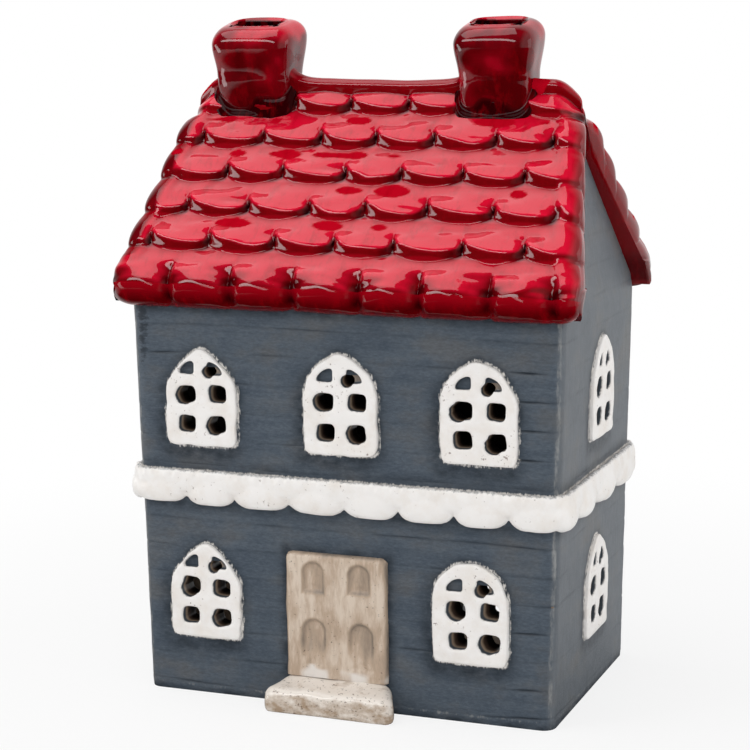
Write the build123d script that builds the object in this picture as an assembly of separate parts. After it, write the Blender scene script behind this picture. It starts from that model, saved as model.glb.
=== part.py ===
from build123d import *
import math
import os

# Tealight house of glazed stoneware, two storeys under a steep tiled roof
# Lengths are in millimetres and angles in degrees
# +X runs to the right along the front, +Y towards the back and +Z up
# The origin is on the table, under the middle of the four walls

# Walls and floor
foot_width = 101.8
eaves_width = 106.2
gable_peak_width = 93.0
house_depth = 63.0
eaves_height = 94.0
wall_thickness = 5.0
wall_corner_radius = 3.0
floor_thickness = 5.0
roof_pitch = 51.8

# Back doorway, where the tealight goes in
doorway_width = 46.0
doorway_headroom = 3.3

# Roof slabs and tiles
roof_slab_thickness = 4.0
roof_eaves_length = 113.6
roof_ridge_length = 98.4
tiles_in_course = 7
course_count = 6
first_lip_distance = 1.2
eaves_lip_margin = 1.0
tile_lip_height = 3.0
tile_head_height = 0.5
tile_drop = 3.8
tile_lap = 1.5
course_drift = 1.1
verge_flare = 0.7
verge_inset = 0.6
eaves_groove_depth = 1.9
ridge_roll_radius = 2.6
ridge_roll_rise = 0.5
ridge_end_share = 0.7

# Chimneys, set along the ridge at shares of the roof's mean length
left_chimney_share = -0.309
right_chimney_share = 0.266
left_chimney_width = 17.6
right_chimney_width = 16.0
chimney_front_step = 0.5
chimney_back_step = 1.4
chimney_height_over_ridge = 19.5
chimney_neck_drop = 11.0
chimney_rim_band = 4.6
chimney_flare = 1.0
chimney_corner_cut = 2.2
chimney_rim_bevel = 1.8
flue_width = 10.4
flue_depth = 7.0
flue_corner_cut = 1.8

# Windows, as plaques laid on the wall and pierced through it
# Places along the front are shares of the wall's length, and the sills and the band
# lie at shares of the eaves' height
window_thickness = 1.2
pane_width = 4.8
pane_height = 4.3
mullion_width = 3.3
transom_height = 2.9
sill_rail_height = 2.7
pane_corner_cut = 0.8
fanlight_height = 2.9
fanlight_width = 3.6
fanlight_rail_height = 2.6
peep_radius = 1.4
peep_sides = 8
plaque_corner_cut = 1.3
upper_sill_share = 0.649
lower_sill_share = 0.151
front_window_width = 17.5
front_window_height = 23.4
front_window_shoulder = 16.4
front_arch_rise = 0.9
left_window_share = -0.335
middle_window_share = 0.003
right_upper_window_share = 0.324
right_lower_window_share = 0.303
side_window_width = 19.0
side_window_height = 24.0
side_window_shoulder = 14.0
side_arch_rise = 1.6
side_upper_sill_share = 0.665
side_lower_sill_share = 0.156
side_window_y = 1.6

# Door and doorstep
door_share = -0.0125
door_width = 25.5
door_gap_over_step = 0.2
door_head_drop = 0.4
door_thickness = 1.4
door_corner_cut = 0.9
panel_width = 5.7
panel_gap = 5.9
panel_recess = 0.8
lower_panel_share = 0.38
upper_panel_share = 0.247
lower_rail_share = 0.09
upper_rail_share = 0.68
step_back_width = 26.0
step_front_width = 33.5
step_reach = 8.4
step_back_height = 7.0
step_front_height = 5.4
step_edge_bevel = 1.2
step_side_cut = 1.8

# Storey band
band_top_share = 0.585
band_depth = 7.0
band_scallop_drop = 1.7
band_projection = 2.5
band_edge_bevel = 1.3
front_band_scallops = 8
side_band_scallops = 4

# Tealight, which stands on the floor and slides out through the back doorway
cup_radius = 19.0
cup_base_radius = 18.2
cup_height = 16.0
cup_wall = 0.4
cup_rim_width = 0.4
cup_rim_depth = 0.7
wax_height = 12.6
wick_radius = 0.75
wick_height = 6.0
wick_lean = 1.6
sustainer_radius = 6.5
sustainer_thickness = 0.3
sustainer_neck_radius = 1.6
sustainer_neck_height = 3.0
tealight_clearance = 0.3

# Cutters run past what they cut by this much
overrun = 3.0

# Places that follow from the sizes above
half_depth = house_depth / 2
pitch = math.radians(roof_pitch)
peak_height = eaves_height + half_depth * math.tan(pitch)
bed_height = peak_height + roof_slab_thickness / math.cos(pitch)
eaves_bead_radius = (roof_slab_thickness + tile_lip_height) / (1 + math.cos(pitch))
slope_length = half_depth / math.cos(pitch)
course_spacing = (slope_length - first_lip_distance - eaves_lip_margin) / (course_count - 1)
ridge_roll_height = bed_height + tile_lip_height / math.cos(pitch) + ridge_roll_rise - ridge_roll_radius
wall_lean = (eaves_width - foot_width) / 2 / eaves_height
front_length = (eaves_width + foot_width) / 2
roof_length = (roof_ridge_length + roof_eaves_length) / 2
band_top_height = band_top_share * eaves_height
band_cusp_height = band_top_height - band_depth
doorway_crown_height = band_cusp_height - band_scallop_drop - doorway_headroom
door_x = door_share * front_length
door_bottom = step_back_height + door_gap_over_step
door_height = lower_sill_share * eaves_height + front_window_height - door_head_drop - door_bottom
chimney_rim_height = bed_height + chimney_height_over_ridge

# The tile bed is the top of the front roof slab, with its local Y running up to the ridge
tile_bed = Plane(origin=(0, 0, bed_height), x_dir=(1, 0, 0), z_dir=(0, -math.sin(pitch), math.cos(pitch)))


def across(points, reach):
    """Closed outline in Y and Z, run along X to both sides of the middle."""
    return extrude(Plane.YZ * make_face(Polyline(*points, close=True)), amount=reach, both=True)


def along(points, reach):
    """Closed outline in X and Z, run along Y to both sides of the middle."""
    return extrude(Plane.XZ * make_face(Polyline(*points, close=True)), amount=reach, both=True)


def block(low, high):
    """Box between two opposite corners."""
    size = [top - bottom for bottom, top in zip(low, high)]
    return Pos(*low) * Box(*size, align=(Align.MIN, Align.MIN, Align.MIN))


def clipped_rectangle(width, height, cut):
    """Rectangle about its middle, with its four corners cut off at 45 degrees."""
    x, y = width / 2, height / 2
    corners = [(x, y - cut), (x - cut, y), (cut - x, y), (-x, y - cut)]
    corners += [(-x, cut - y), (cut - x, -y), (x - cut, -y), (x, cut - y)]
    return make_face(Polyline(*corners, close=True))


def solids_only(shape):
    """The one solid, or the group of solids, that a chain of cuts leaves."""
    solids = shape.solids()
    return solids[0] if len(solids) == 1 else Compound(solids)


# Walls

def storeys(grow):
    """The upright part of the house up to the eaves, grown evenly outwards."""
    foot, head = foot_width / 2 + grow, eaves_width / 2 + grow
    form = along([(-foot, 0), (foot, 0), (head, eaves_height), (-head, eaves_height)], half_depth + grow)
    corners = [edge for edge in form.edges() if edge.bounding_box().size.Z > eaves_height / 2]
    return fillet(corners, wall_corner_radius + grow)


def under_roof(half_run, drop):
    """Everything under the roof slabs, out to a distance in front of and behind the ridge."""
    shoulder = peak_height - half_run * math.tan(pitch)
    outline = [(-half_run, -drop), (half_run, -drop), (half_run, shoulder), (0, peak_height)]
    return across(outline + [(-half_run, shoulder)], eaves_width)


def between_gables(inset, drop):
    """Everything between the leaning outer faces of the gable walls, moved in by the inset."""
    foot = foot_width / 2 - inset - wall_lean * drop
    eaves = eaves_width / 2 - inset
    peak = gable_peak_width / 2 - inset
    right = [(foot, -drop), (eaves, eaves_height), (peak, peak_height + overrun)]
    left = [(-x, z) for x, z in reversed(right)]
    return along(right + left, house_depth)


def house_shell():
    """The four walls and two gables as one skin, before they are parted."""
    loft_space = block((-eaves_width, -house_depth, eaves_height), (eaves_width, house_depth, bed_height))
    gables = under_roof(half_depth, overrun) & between_gables(0, overrun) & loft_space
    room = under_roof(half_depth - wall_thickness, overrun) & between_gables(wall_thickness, overrun)
    return (storeys(0) + gables) - room


def floor_slab():
    """Floor that fits inside the foot of the walls."""
    room = under_roof(half_depth - wall_thickness, overrun) & between_gables(wall_thickness, overrun)
    return room & block((-foot_width, -house_depth, 0), (foot_width, house_depth, floor_thickness))


def doorway():
    """Round-headed opening through the back wall, from the floor up."""
    radius = doorway_width / 2
    spring = doorway_crown_height - radius
    with BuildLine() as outline:
        sill = Line((-radius, floor_thickness), (radius, floor_thickness))
        right = Line(sill @ 1, (radius, spring))
        head = ThreePointArc(right @ 1, (0, doorway_crown_height), (-radius, spring))
        Line(head @ 1, sill @ 0)
    tunnel = extrude(Plane.XZ * make_face(outline.line), amount=wall_thickness + overrun, both=True)
    return Pos(0, half_depth, 0) * tunnel


# Windows

class Window:
    """One pierced window: its place on a wall face and the solids that follow from it."""

    def __init__(self, name, face, width, height, shoulder, arch_rise):
        self.name = name
        self.face = face
        self.width = width
        self.height = height
        self.shoulder = shoulder
        self.arch_rise = arch_rise

    def outline(self):
        """Flat plaque outline with clipped feet and a pointed head."""
        side = self.width / 2
        with BuildLine() as line:
            sill = Line((-side, 0), (side, 0))
            right = Line(sill @ 1, (side, self.shoulder))
            apex = (0, self.height)
            SagittaArc(right @ 1, apex, -self.arch_rise)
            left = Line((-side, self.shoulder), sill @ 0)
            SagittaArc(apex, left @ 0, -self.arch_rise)
        plaque = make_face(line.line)
        feet = plaque.vertices().sort_by(Axis.Y)[:2]
        return chamfer(feet, plaque_corner_cut)

    def panes(self):
        """Two by two square panes with clipped corners."""
        pane = clipped_rectangle(pane_width, pane_height, pane_corner_cut)
        column = (mullion_width + pane_width) / 2
        first_row = sill_rail_height + pane_height / 2
        second_row = first_row + pane_height + transom_height
        places = [(-column, first_row), (column, first_row), (-column, second_row), (column, second_row)]
        return [Pos(x, y) * pane for x, y in places]

    def fanlights(self):
        """Two quarter-round lights in the head, which stop at the wall behind the plaque."""
        foot = sill_rail_height + 2 * pane_height + transom_height + fanlight_rail_height
        lights = []
        for side in (-1, 1):
            inner = side * mullion_width / 2
            outer = inner + side * fanlight_width
            with BuildLine() as line:
                rail = Line((inner, foot), (outer, foot))
                SagittaArc(rail @ 1, (inner, foot + fanlight_height), -side * fanlight_height / 4)
                Line((inner, foot + fanlight_height), rail @ 0)
            lights.append(make_face(line.line))
        return lights

    def peep(self):
        """Small round hole at the foot of the right-hand light."""
        foot = sill_rail_height + 2 * pane_height + transom_height + fanlight_rail_height
        return Pos(mullion_width / 2, foot) * RegularPolygon(peep_radius, peep_sides)

    def plaque(self):
        """The white plaque, open at the panes, the lights and the peep hole."""
        solid = self.face * extrude(self.outline(), amount=window_thickness)
        for opening in self.panes() + self.fanlights() + [self.peep()]:
            solid -= self.face * extrude(opening, amount=window_thickness + overrun, both=True)
        return solid

    def pierce(self, wall):
        """The wall with this window's panes and peep hole cut through it."""
        for opening in self.panes() + [self.peep()]:
            wall -= self.face * extrude(opening, amount=wall_thickness + overrun, both=True)
        return wall


def front_face(x, height):
    """Plane on the outside of the front wall, with its origin at a place on it."""
    return Plane(origin=(x, -half_depth, height), x_dir=(1, 0, 0), z_dir=(0, -1, 0))


def gable_face(side, y, height):
    """Plane on the outside of a gable wall, which leans out towards the eaves."""
    x = side * (foot_width / 2 + wall_lean * height)
    return Plane(origin=(x, y, height), x_dir=(0, side, 0), z_dir=(side, 0, -wall_lean))


def front_windows():
    """Three windows upstairs and two beside the door."""
    places = [
        ("upper_front_window_left", left_window_share, upper_sill_share),
        ("upper_front_window_centre", middle_window_share, upper_sill_share),
        ("upper_front_window_right", right_upper_window_share, upper_sill_share),
        ("lower_front_window_left", left_window_share, lower_sill_share),
        ("lower_front_window_right", right_lower_window_share, lower_sill_share),
    ]
    shape = (front_window_width, front_window_height, front_window_shoulder, front_arch_rise)
    windows = []
    for name, along_share, up_share in places:
        windows.append(Window(name, front_face(along_share * front_length, up_share * eaves_height), *shape))
    return windows


def side_windows(side, word):
    """One window above the other in a gable wall."""
    shape = (side_window_width, side_window_height, side_window_shoulder, side_arch_rise)
    levels = [("upper", side_upper_sill_share), ("lower", side_lower_sill_share)]
    windows = []
    for level, share in levels:
        face = gable_face(side, side_window_y, share * eaves_height)
        windows.append(Window(f"{word}_side_window_{level}", face, *shape))
    return windows


# Door and doorstep

def arched_panel(height):
    """Flat outline of one round-headed door panel, standing on its own foot."""
    radius = panel_width / 2
    with BuildLine() as line:
        foot = Line((-radius, 0), (radius, 0))
        right = Line(foot @ 1, (radius, height - radius))
        head = ThreePointArc(right @ 1, (0, height), (-radius, height - radius))
        Line(head @ 1, foot @ 0)
    return make_face(line.line)


def front_door():
    """Door leaf with two tall and two short sunk panels."""
    face = front_face(door_x, door_bottom)
    leaf = Pos(0, door_height / 2) * clipped_rectangle(door_width, door_height, door_corner_cut)
    door = extrude(leaf, amount=door_thickness)
    column = (panel_width + panel_gap) / 2
    rows = [(lower_rail_share, lower_panel_share), (upper_rail_share, upper_panel_share)]
    for rise, height in rows:
        for x in (-column, column):
            foot = Pos(x, rise * door_height, door_thickness - panel_recess)
            sunk = foot * arched_panel(height * door_height)
            door -= extrude(sunk, amount=panel_recess + overrun)
    return face * door


def door_step():
    """Tread that widens and falls towards its front edge."""
    front = -half_depth - step_reach
    profile = [(-half_depth, 0), (front, 0), (front, step_front_height), (-half_depth, step_back_height)]
    tread = across(profile, step_front_width)
    back = step_back_width / 2
    ahead = step_front_width / 2
    plan = [(-back, -half_depth), (back, -half_depth), (ahead, front), (-ahead, front)]
    tread &= extrude(Pos(door_x, 0) * make_face(Polyline(*plan, close=True)), amount=step_back_height)
    tread = chamfer(tread.edges().filter_by(Axis.Z).group_by(Axis.Y)[0], step_side_cut)
    top = tread.faces().filter_by(lambda face: face.normal_at().Z > math.cos(pitch)).sort_by(Axis.Z)[-1]
    open_edges = [edge for edge in top.edges() if edge.center().Y < -half_depth - step_edge_bevel]
    return chamfer(open_edges, step_edge_bevel)


# Storey band

def scalloped_face(cusps, cusp_level, tip_level, far_level):
    """Outline that is straight on one side and hangs in round scallops on the other."""
    with BuildLine() as line:
        Line((cusps[0], cusp_level), (cusps[0], far_level))
        Line((cusps[0], far_level), (cusps[-1], far_level))
        Line((cusps[-1], far_level), (cusps[-1], cusp_level))
        for start, end in zip(cusps, cusps[1:]):
            ThreePointArc((start, cusp_level), ((start + end) / 2, tip_level), (end, cusp_level))
    return make_face(line.line)


def band_scallops(length, count):
    """Flat outline of the band along one wall, on both sides of its middle."""
    pitch_length = length / count
    cusps = [-length / 2 + pitch_length * place for place in range(count + 1)]
    return scalloped_face(cusps, band_cusp_height, band_cusp_height - band_scallop_drop, band_top_height)


def storey_bands():
    """The moulded band, parted where the front and back lengths turn the corners."""
    low = (-eaves_width, -house_depth, band_cusp_height - band_scallop_drop)
    high = (eaves_width, house_depth, band_top_height)
    hoop = storeys(band_projection) & block(low, high)
    hoop = chamfer(hoop.faces().sort_by(Axis.Z)[-1].edges(), band_edge_bevel)
    hoop -= storeys(0)
    long_side = eaves_width + 2 * band_projection
    long_cut = Plane.XZ * band_scallops(long_side, front_band_scallops)
    short_cut = Plane.YZ * band_scallops(house_depth, side_band_scallops)
    long_part = hoop & extrude(long_cut, amount=house_depth, both=True)
    short_part = hoop & extrude(short_cut, amount=eaves_width, both=True)
    ahead = block((-eaves_width, -house_depth, 0), (eaves_width, -half_depth, eaves_height))
    behind = block((-eaves_width, half_depth, 0), (eaves_width, house_depth, eaves_height))
    right = block((0, -half_depth, 0), (eaves_width, half_depth, eaves_height))
    left = block((-eaves_width, -half_depth, 0), (0, half_depth, eaves_height))
    return {
        "front_storey_band": long_part & ahead,
        "back_storey_band": long_part & behind,
        "right_storey_band": short_part & right,
        "left_storey_band": short_part & left,
    }


# Roof slabs and tiles

def verge_half(distance):
    """Half the roof's length at a distance down the slope from the ridge."""
    share = distance / slope_length
    return (roof_ridge_length + (roof_eaves_length - roof_ridge_length) * share) / 2


def on_slope(distance, height):
    """Y and Z of a point down the front slope from the ridge and above the tile bed."""
    y = -distance * math.cos(pitch) - height * math.sin(pitch)
    z = bed_height - distance * math.sin(pitch) + height * math.cos(pitch)
    return (y, z)


def under_bed():
    """Everything under the top faces of the two roof slabs."""
    foot = bed_height - house_depth * math.tan(pitch)
    return across([(-house_depth, foot), (house_depth, foot), (0, bed_height)], eaves_width)


def front_roof_slab():
    """Plain slab of the front slope, mitred at the ridge and cut plumb over the front wall."""
    reach = slope_length + 2 * roof_slab_thickness
    top, foot = verge_half(0) - verge_inset, verge_half(slope_length) - verge_inset
    plan = [(-top, 0), (top, 0), (foot, -slope_length), (foot, -reach)]
    plan += [(-foot, -reach), (-foot, -slope_length)]
    slab = tile_bed * extrude(make_face(Polyline(*plan, close=True)), amount=-roof_slab_thickness)
    return slab & block((-eaves_width, -half_depth, 0), (eaves_width, 0, bed_height))


def ridge_roll():
    """Round roll over the ridge, before the slabs and chimneys are taken out of it."""
    roll = Pos(0, 0, ridge_roll_height) * Rot(0, 90, 0) * Cylinder(ridge_roll_radius, roof_ridge_length)
    return chamfer(roll.edges().filter_by(GeomType.CIRCLE), ridge_end_share * ridge_roll_radius)


def ridge_keel():
    """Clay that fills the ridge between the heads of the two top courses, under the roll."""
    head_y, head_z = on_slope(0, head_height(1))
    keel = [(head_y, head_z), (0, bed_height), (-head_y, head_z), (0, ridge_roll_height)]
    return across(keel, verge_half(0) - ridge_roll_radius)


def cusp_places(number, half_length):
    """Where the tiles of one course meet: every second course starts half a tile along."""
    tile = 2 * half_length / tiles_in_course
    shift = tile / 2 * (number % 2) + course_drift * (number - 1)
    count = tiles_in_course // 2 + 2
    return [shift + tile * place for place in range(-count - 1, count + 1)]


def lip_distance(number):
    """Distance of a course's cusps below the ridge, along the slope."""
    return first_lip_distance + course_spacing * (number - 1)


def head_distance(number):
    """Distance of a course's upper edge below the ridge, under the lip of the course above it."""
    return lip_distance(number - 1) + tile_lip_height * math.tan(pitch) - tile_lap if number > 1 else 0


def head_height(number):
    """Thickness of a course at its head: the top course is cut short, so its head is thicker."""
    full_run = course_spacing + tile_drop + tile_lap - tile_lip_height * math.tan(pitch)
    run = lip_distance(number) + tile_drop - head_distance(number)
    return tile_lip_height - (tile_lip_height - tile_head_height) * run / full_run


def scallops(number, tip_y, drop):
    """Everything behind the scalloped lip line of a course, seen from above."""
    cusps = cusp_places(number, verge_half(lip_distance(number)))
    return extrude(scalloped_face(cusps, tip_y + drop, tip_y, 0), amount=bed_height + house_depth)


def verges(number, head_y, tip_y):
    """Everything between the two verge ends of a course, which widens towards its lip."""
    narrow = verge_half(head_distance(number)) - verge_flare
    wide = verge_half(lip_distance(number) + tile_drop) + verge_flare
    plan = [(-narrow, 0), (narrow, 0), (narrow, head_y), (wide, tip_y), (-wide, tip_y), (-narrow, head_y)]
    return extrude(make_face(Polyline(*plan, close=True)), amount=bed_height + house_depth)


def tile_course(number):
    """One strip of tiles on the front slab: a wedge with a scalloped, plumb lip."""
    head = head_distance(number)
    brow = on_slope(head, head_height(number))
    crest = on_slope(lip_distance(number) + tile_drop, tile_lip_height)
    below = (crest[0], bed_height + crest[0] * math.tan(pitch))
    wedge = across([on_slope(head, 0), brow, crest, below], roof_eaves_length)
    lip = scallops(number, crest[0], tile_drop * math.cos(pitch))
    return wedge & lip & verges(number, brow[0], crest[0])


def eaves_course():
    """The lowest strip, whose thick round nose wraps the slab's end above the wall."""
    number = course_count
    head = head_distance(number)
    nose_distance = (half_depth + (tile_lip_height - eaves_bead_radius) * math.sin(pitch)) / math.cos(pitch)
    brow = on_slope(head, head_height(number))
    crest = on_slope(nose_distance, tile_lip_height)
    front = -half_depth - eaves_bead_radius
    slab_edge = bed_height - half_depth * math.tan(pitch)
    with BuildLine() as line:
        top = Line(on_slope(head, 0), brow)
        slope = Line(brow, crest)
        furthest = (front, eaves_height + eaves_bead_radius)
        nose = ThreePointArc(slope @ 1, furthest, (-half_depth, eaves_height))
        plumb = Line(nose @ 1, (-half_depth, slab_edge))
        Line(plumb @ 1, top @ 0)
    strip = extrude(Plane.YZ * make_face(line.line), amount=roof_eaves_length, both=True)
    return strip & scallops(number, front, eaves_groove_depth) & verges(number, brow[0], front)


def front_courses():
    """All courses of the front slope, from the ridge down, each laid over the next."""
    courses = [tile_course(number) for number in range(1, course_count)] + [eaves_course()]
    laid = [upper - lower for upper, lower in zip(courses, courses[1:])]
    return laid + courses[-1:]


# Chimneys

def chimney_faces():
    """Y of the chimneys' front and back: past the top course's lip, and inside the second one's."""
    front = on_slope(lip_distance(1) + tile_drop, tile_lip_height)[0] - chimney_front_step
    back = -on_slope(lip_distance(2), tile_lip_height)[0] - chimney_back_step
    return (front, back)


def chimney_block(x, width):
    """Chimney outside, without its flue: straight up to the neck, then flared to a bevelled rim."""
    front, back = chimney_faces()
    root = bed_height - (back - front) * math.tan(pitch)
    levels = [
        (root, 0),
        (chimney_rim_height - chimney_neck_drop, 0),
        (chimney_rim_height - chimney_rim_band, chimney_flare),
        (chimney_rim_height - chimney_rim_bevel, chimney_flare),
        (chimney_rim_height, chimney_flare - chimney_rim_bevel),
    ]
    rings = []
    for height, grow in levels:
        ring = clipped_rectangle(width + 2 * grow, back - front + 2 * grow, chimney_corner_cut)
        rings.append(Pos(x, (front + back) / 2, height) * ring)
    return loft(rings, ruled=True) - under_bed()


def flue(x):
    """Upright hole through a chimney and the roof slabs under it."""
    hole = clipped_rectangle(flue_width, flue_depth, flue_corner_cut)
    low = peak_height - house_depth / 2
    middle = sum(chimney_faces()) / 2
    return extrude(Pos(x, middle, low) * hole, amount=chimney_rim_height + overrun - low)


# Tealight

def tealight_pieces():
    """Foil cup, wax, wick and the wick's foot, standing on the floor in the middle of the room."""
    inner_base = cup_base_radius - cup_wall
    inner_top = cup_radius - cup_wall
    rim = cup_radius + cup_rim_width
    shell = [(0, 0), (cup_base_radius, 0), (cup_radius, cup_height - cup_rim_depth)]
    shell += [(rim, cup_height - cup_rim_depth), (rim, cup_height), (inner_top, cup_height)]
    shell += [(inner_base, cup_wall), (0, cup_wall)]
    cup = revolve(Plane.XZ * make_face(Polyline(*shell, close=True)), Axis.Z)
    wax_radius = inner_base + (inner_top - inner_base) * (wax_height - cup_wall) / (cup_height - cup_wall)
    fill = [(0, cup_wall), (inner_base, cup_wall), (wax_radius, wax_height), (0, wax_height)]
    wax = revolve(Plane.XZ * make_face(Polyline(*fill, close=True)), Axis.Z)
    foot_top = cup_wall + sustainer_thickness
    sustainer = Pos(0, 0, cup_wall) * extrude(Circle(sustainer_radius), amount=sustainer_thickness)
    sustainer += Pos(0, 0, foot_top) * extrude(Circle(sustainer_neck_radius), amount=sustainer_neck_height)
    straight = Line((0, 0, cup_wall + sustainer_thickness), (0, 0, wax_height))
    burnt_end = (wick_lean, 0, wax_height + wick_height)
    bend = TangentArc((0, 0, wax_height), burnt_end, tangent=(0, 0, 1))
    wick = sweep(Plane.XY.offset(foot_top) * Circle(wick_radius), path=Wire([straight.edge(), bend.edge()]))
    sustainer -= wick
    wax -= wick
    wax -= sustainer
    lift = Pos(0, 0, floor_thickness + tealight_clearance)
    pieces = {"tealight_cup": cup, "tealight_wax": wax, "tealight_wick": wick, "wick_sustainer": sustainer}
    return {name: lift * solid for name, solid in pieces.items()}


def build():
    """Make every sub-part in its place and write it."""
    parts = {"base_slab": floor_slab()}
    shell = house_shell()
    inner = half_depth - wall_thickness
    wide, high = eaves_width, bed_height
    front_wall = shell & block((-wide, -house_depth, 0), (wide, -inner, high))
    back_wall = shell & block((-wide, inner, 0), (wide, house_depth, high))
    left_wall = shell & block((-wide, -inner, 0), (0, inner, high))
    right_wall = shell & block((0, -inner, 0), (wide, inner, high))
    front, left, right = front_windows(), side_windows(-1, "left"), side_windows(1, "right")
    for window in front:
        front_wall = window.pierce(front_wall)
    for window in left:
        left_wall = window.pierce(left_wall)
    for window in right:
        right_wall = window.pierce(right_wall)
    parts["front_wall"] = front_wall
    parts["back_wall"] = back_wall - doorway()
    parts["left_gable_wall"] = left_wall
    parts["right_gable_wall"] = right_wall
    for window in front + left + right:
        parts[window.name] = window.plaque()
    parts["front_door"] = front_door()
    parts["door_step"] = door_step()
    parts.update(storey_bands())

    stacks = {
        "left_chimney": (left_chimney_share * roof_length, left_chimney_width),
        "right_chimney": (right_chimney_share * roof_length, right_chimney_width),
    }
    blocks = {name: chimney_block(x, width) for name, (x, width) in stacks.items()}
    front_slab = front_roof_slab()
    rear_slab = front_slab.rotate(Axis.Z, 180)
    roll = ridge_roll()
    roof_ridge = (roll + ridge_keel()) - under_bed()
    courses = front_courses()
    rear_courses = [strip.rotate(Axis.Z, 180) for strip in courses]
    for name, (x, width) in stacks.items():
        hole = flue(x)
        front_slab -= hole
        rear_slab -= hole
        roof_ridge -= blocks[name]
        parts[name] = blocks[name] - hole
    parts["front_roof_slab"] = front_slab
    parts["rear_roof_slab"] = rear_slab
    parts["ridge_roll"] = roof_ridge
    for word, strips in (("front", courses), ("rear", rear_courses)):
        for number, strip in enumerate(strips, start=1):
            parts[f"{word}_tile_course_{number}"] = strip - roll - list(blocks.values())
    parts.update(tealight_pieces())

    os.makedirs("parts", exist_ok=True)
    for name, shape in parts.items():
        export_step(solids_only(shape), f"parts/{name}.step")


build()
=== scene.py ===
"""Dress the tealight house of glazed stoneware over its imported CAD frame."""

import logging
import math
from collections.abc import Callable
from dataclasses import dataclass, field
from enum import Enum
from functools import partial, partialmethod

import bmesh
import bpy
import numpy as np
from mathutils import Matrix, Vector
from mathutils.bvhtree import BVHTree


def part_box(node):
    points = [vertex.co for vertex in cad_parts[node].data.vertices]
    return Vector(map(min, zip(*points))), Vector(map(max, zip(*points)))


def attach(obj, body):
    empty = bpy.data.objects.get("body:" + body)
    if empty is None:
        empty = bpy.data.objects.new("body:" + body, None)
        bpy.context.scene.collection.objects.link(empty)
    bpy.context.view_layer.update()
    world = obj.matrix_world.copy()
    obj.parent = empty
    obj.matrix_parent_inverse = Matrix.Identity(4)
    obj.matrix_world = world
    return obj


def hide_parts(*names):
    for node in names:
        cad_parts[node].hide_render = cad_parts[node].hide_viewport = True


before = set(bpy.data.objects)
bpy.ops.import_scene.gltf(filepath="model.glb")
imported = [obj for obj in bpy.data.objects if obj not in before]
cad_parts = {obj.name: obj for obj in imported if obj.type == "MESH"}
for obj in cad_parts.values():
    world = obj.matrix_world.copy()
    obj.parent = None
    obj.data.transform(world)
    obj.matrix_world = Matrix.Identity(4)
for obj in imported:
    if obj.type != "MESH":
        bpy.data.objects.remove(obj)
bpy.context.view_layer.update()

MM = 0.001
HOUSE = "house"
TEALIGHT = "tealight"
PITCH = math.radians(51.8)
HALF_DEPTH = 31.5
FOOT_HALF = 50.9
EAVES_HEIGHT = 94.0
GABLE_LEAN = 0.0234
log = logging.getLogger("tealight_house")

Array = np.ndarray
Pair = tuple[float, float]
Point = tuple[float, float, float]
Thing = bpy.types.Object
Adder = Callable[..., "Flow"]


# Small tools shared by all the pieces

def srgb(code: str) -> tuple[float, float, float, float]:
    """Turn an sRGB hex colour into linear RGBA.

    Args:
        code: Six hex digits after a hash sign.

    Returns:
        The colour that Blender's sockets take.
    """
    channels = [int(code[place:place + 2], 16) / 255 for place in (1, 3, 5)]
    linear = [c / 12.92 if c <= 0.04045 else ((c + 0.055) / 1.055) ** 2.4 for c in channels]
    return (*linear, 1.0)


@dataclass
class Flow:
    """What leaves one output of a node. It can be reckoned with, and each sign adds a sum to the tree."""

    socket: bpy.types.NodeSocket

    def __getitem__(self, name: str) -> "Flow":
        """Another output of the same node."""
        return Flow(self.socket.node.outputs[name])

    def to(self, operation: str, *others: object, **settings: object) -> "Flow":
        """Put it through one operation, with the other terms that this takes."""
        return add_node(self.socket.id_data, "Math", self, *others, operation=operation, **settings)

    # Each sign adds one sum to the tree
    __add__ = partialmethod(to, "ADD")
    __sub__ = partialmethod(to, "SUBTRACT")
    __mul__ = partialmethod(to, "MULTIPLY")
    __truediv__ = partialmethod(to, "DIVIDE")
    __pow__ = partialmethod(to, "POWER")

    def __rsub__(self, number: float) -> "Flow":
        """What it leaves of a number."""
        return add_node(self.socket.id_data, "Math", number, self, operation="SUBTRACT")

    def bell(self, width: float) -> "Flow":
        """1 where it is 0, fading like a bell to a third at the width on both sides."""
        return ((self / width) ** 2.0 * -1.0).to("EXPONENT")


def feed(target: bpy.types.NodeSocket, source: object) -> None:
    """Give an input what it takes.

    Args:
        target: The input.
        source: A flow, or a list of flows, to link; or else its value. None leaves it as it is.
    """
    for part in source if isinstance(source, list) else [source]:
        if isinstance(part, Flow):
            target.id_data.links.new(part.socket, target)
        elif part is not None:
            target.default_value = part


def add_node(tree: bpy.types.NodeTree, kind: str, *inputs: object, **settings: object) -> Flow:
    """Add one node to a tree, with its settings and links.

    Args:
        tree: The node tree.
        kind: Blender's identifier of the node type, with or without the family before it.
        inputs: What its first inputs take, in their order.
        settings: Its properties, and its inputs by name with _ for a space. "ramp" holds the colour stops and
            "curve" the points of a curve.

    Returns:
        Its first output.
    """
    families = ("ShaderNode", "GeometryNode", "FunctionNode", "")
    node = tree.nodes.new(next(family + kind for family in families if hasattr(bpy.types, family + kind)))
    feeds = []
    for key, value in settings.items():
        if key == "ramp":
            elements = node.color_ramp.elements
            while len(elements) < len(value):
                elements.new(1.0)
            for element, (place, colour) in zip(elements, value):
                element.position = place
                element.color = srgb(colour)
        elif key == "curve":
            points = node.mapping.curves[0].points
            points[0].location, points[1].location = value[0], value[-1]
            for spot in value[1:-1]:
                points.new(*spot)
        elif hasattr(node, key):
            setattr(node, key, value)
        else:
            feeds.append((node.inputs[key.replace("_", " ")], value))
    feeds += zip([socket for socket in node.inputs if socket.enabled], inputs)
    for target, source in feeds:
        feed(target, source)
    return Flow(next((socket for socket in node.outputs if socket.enabled), None))


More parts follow.
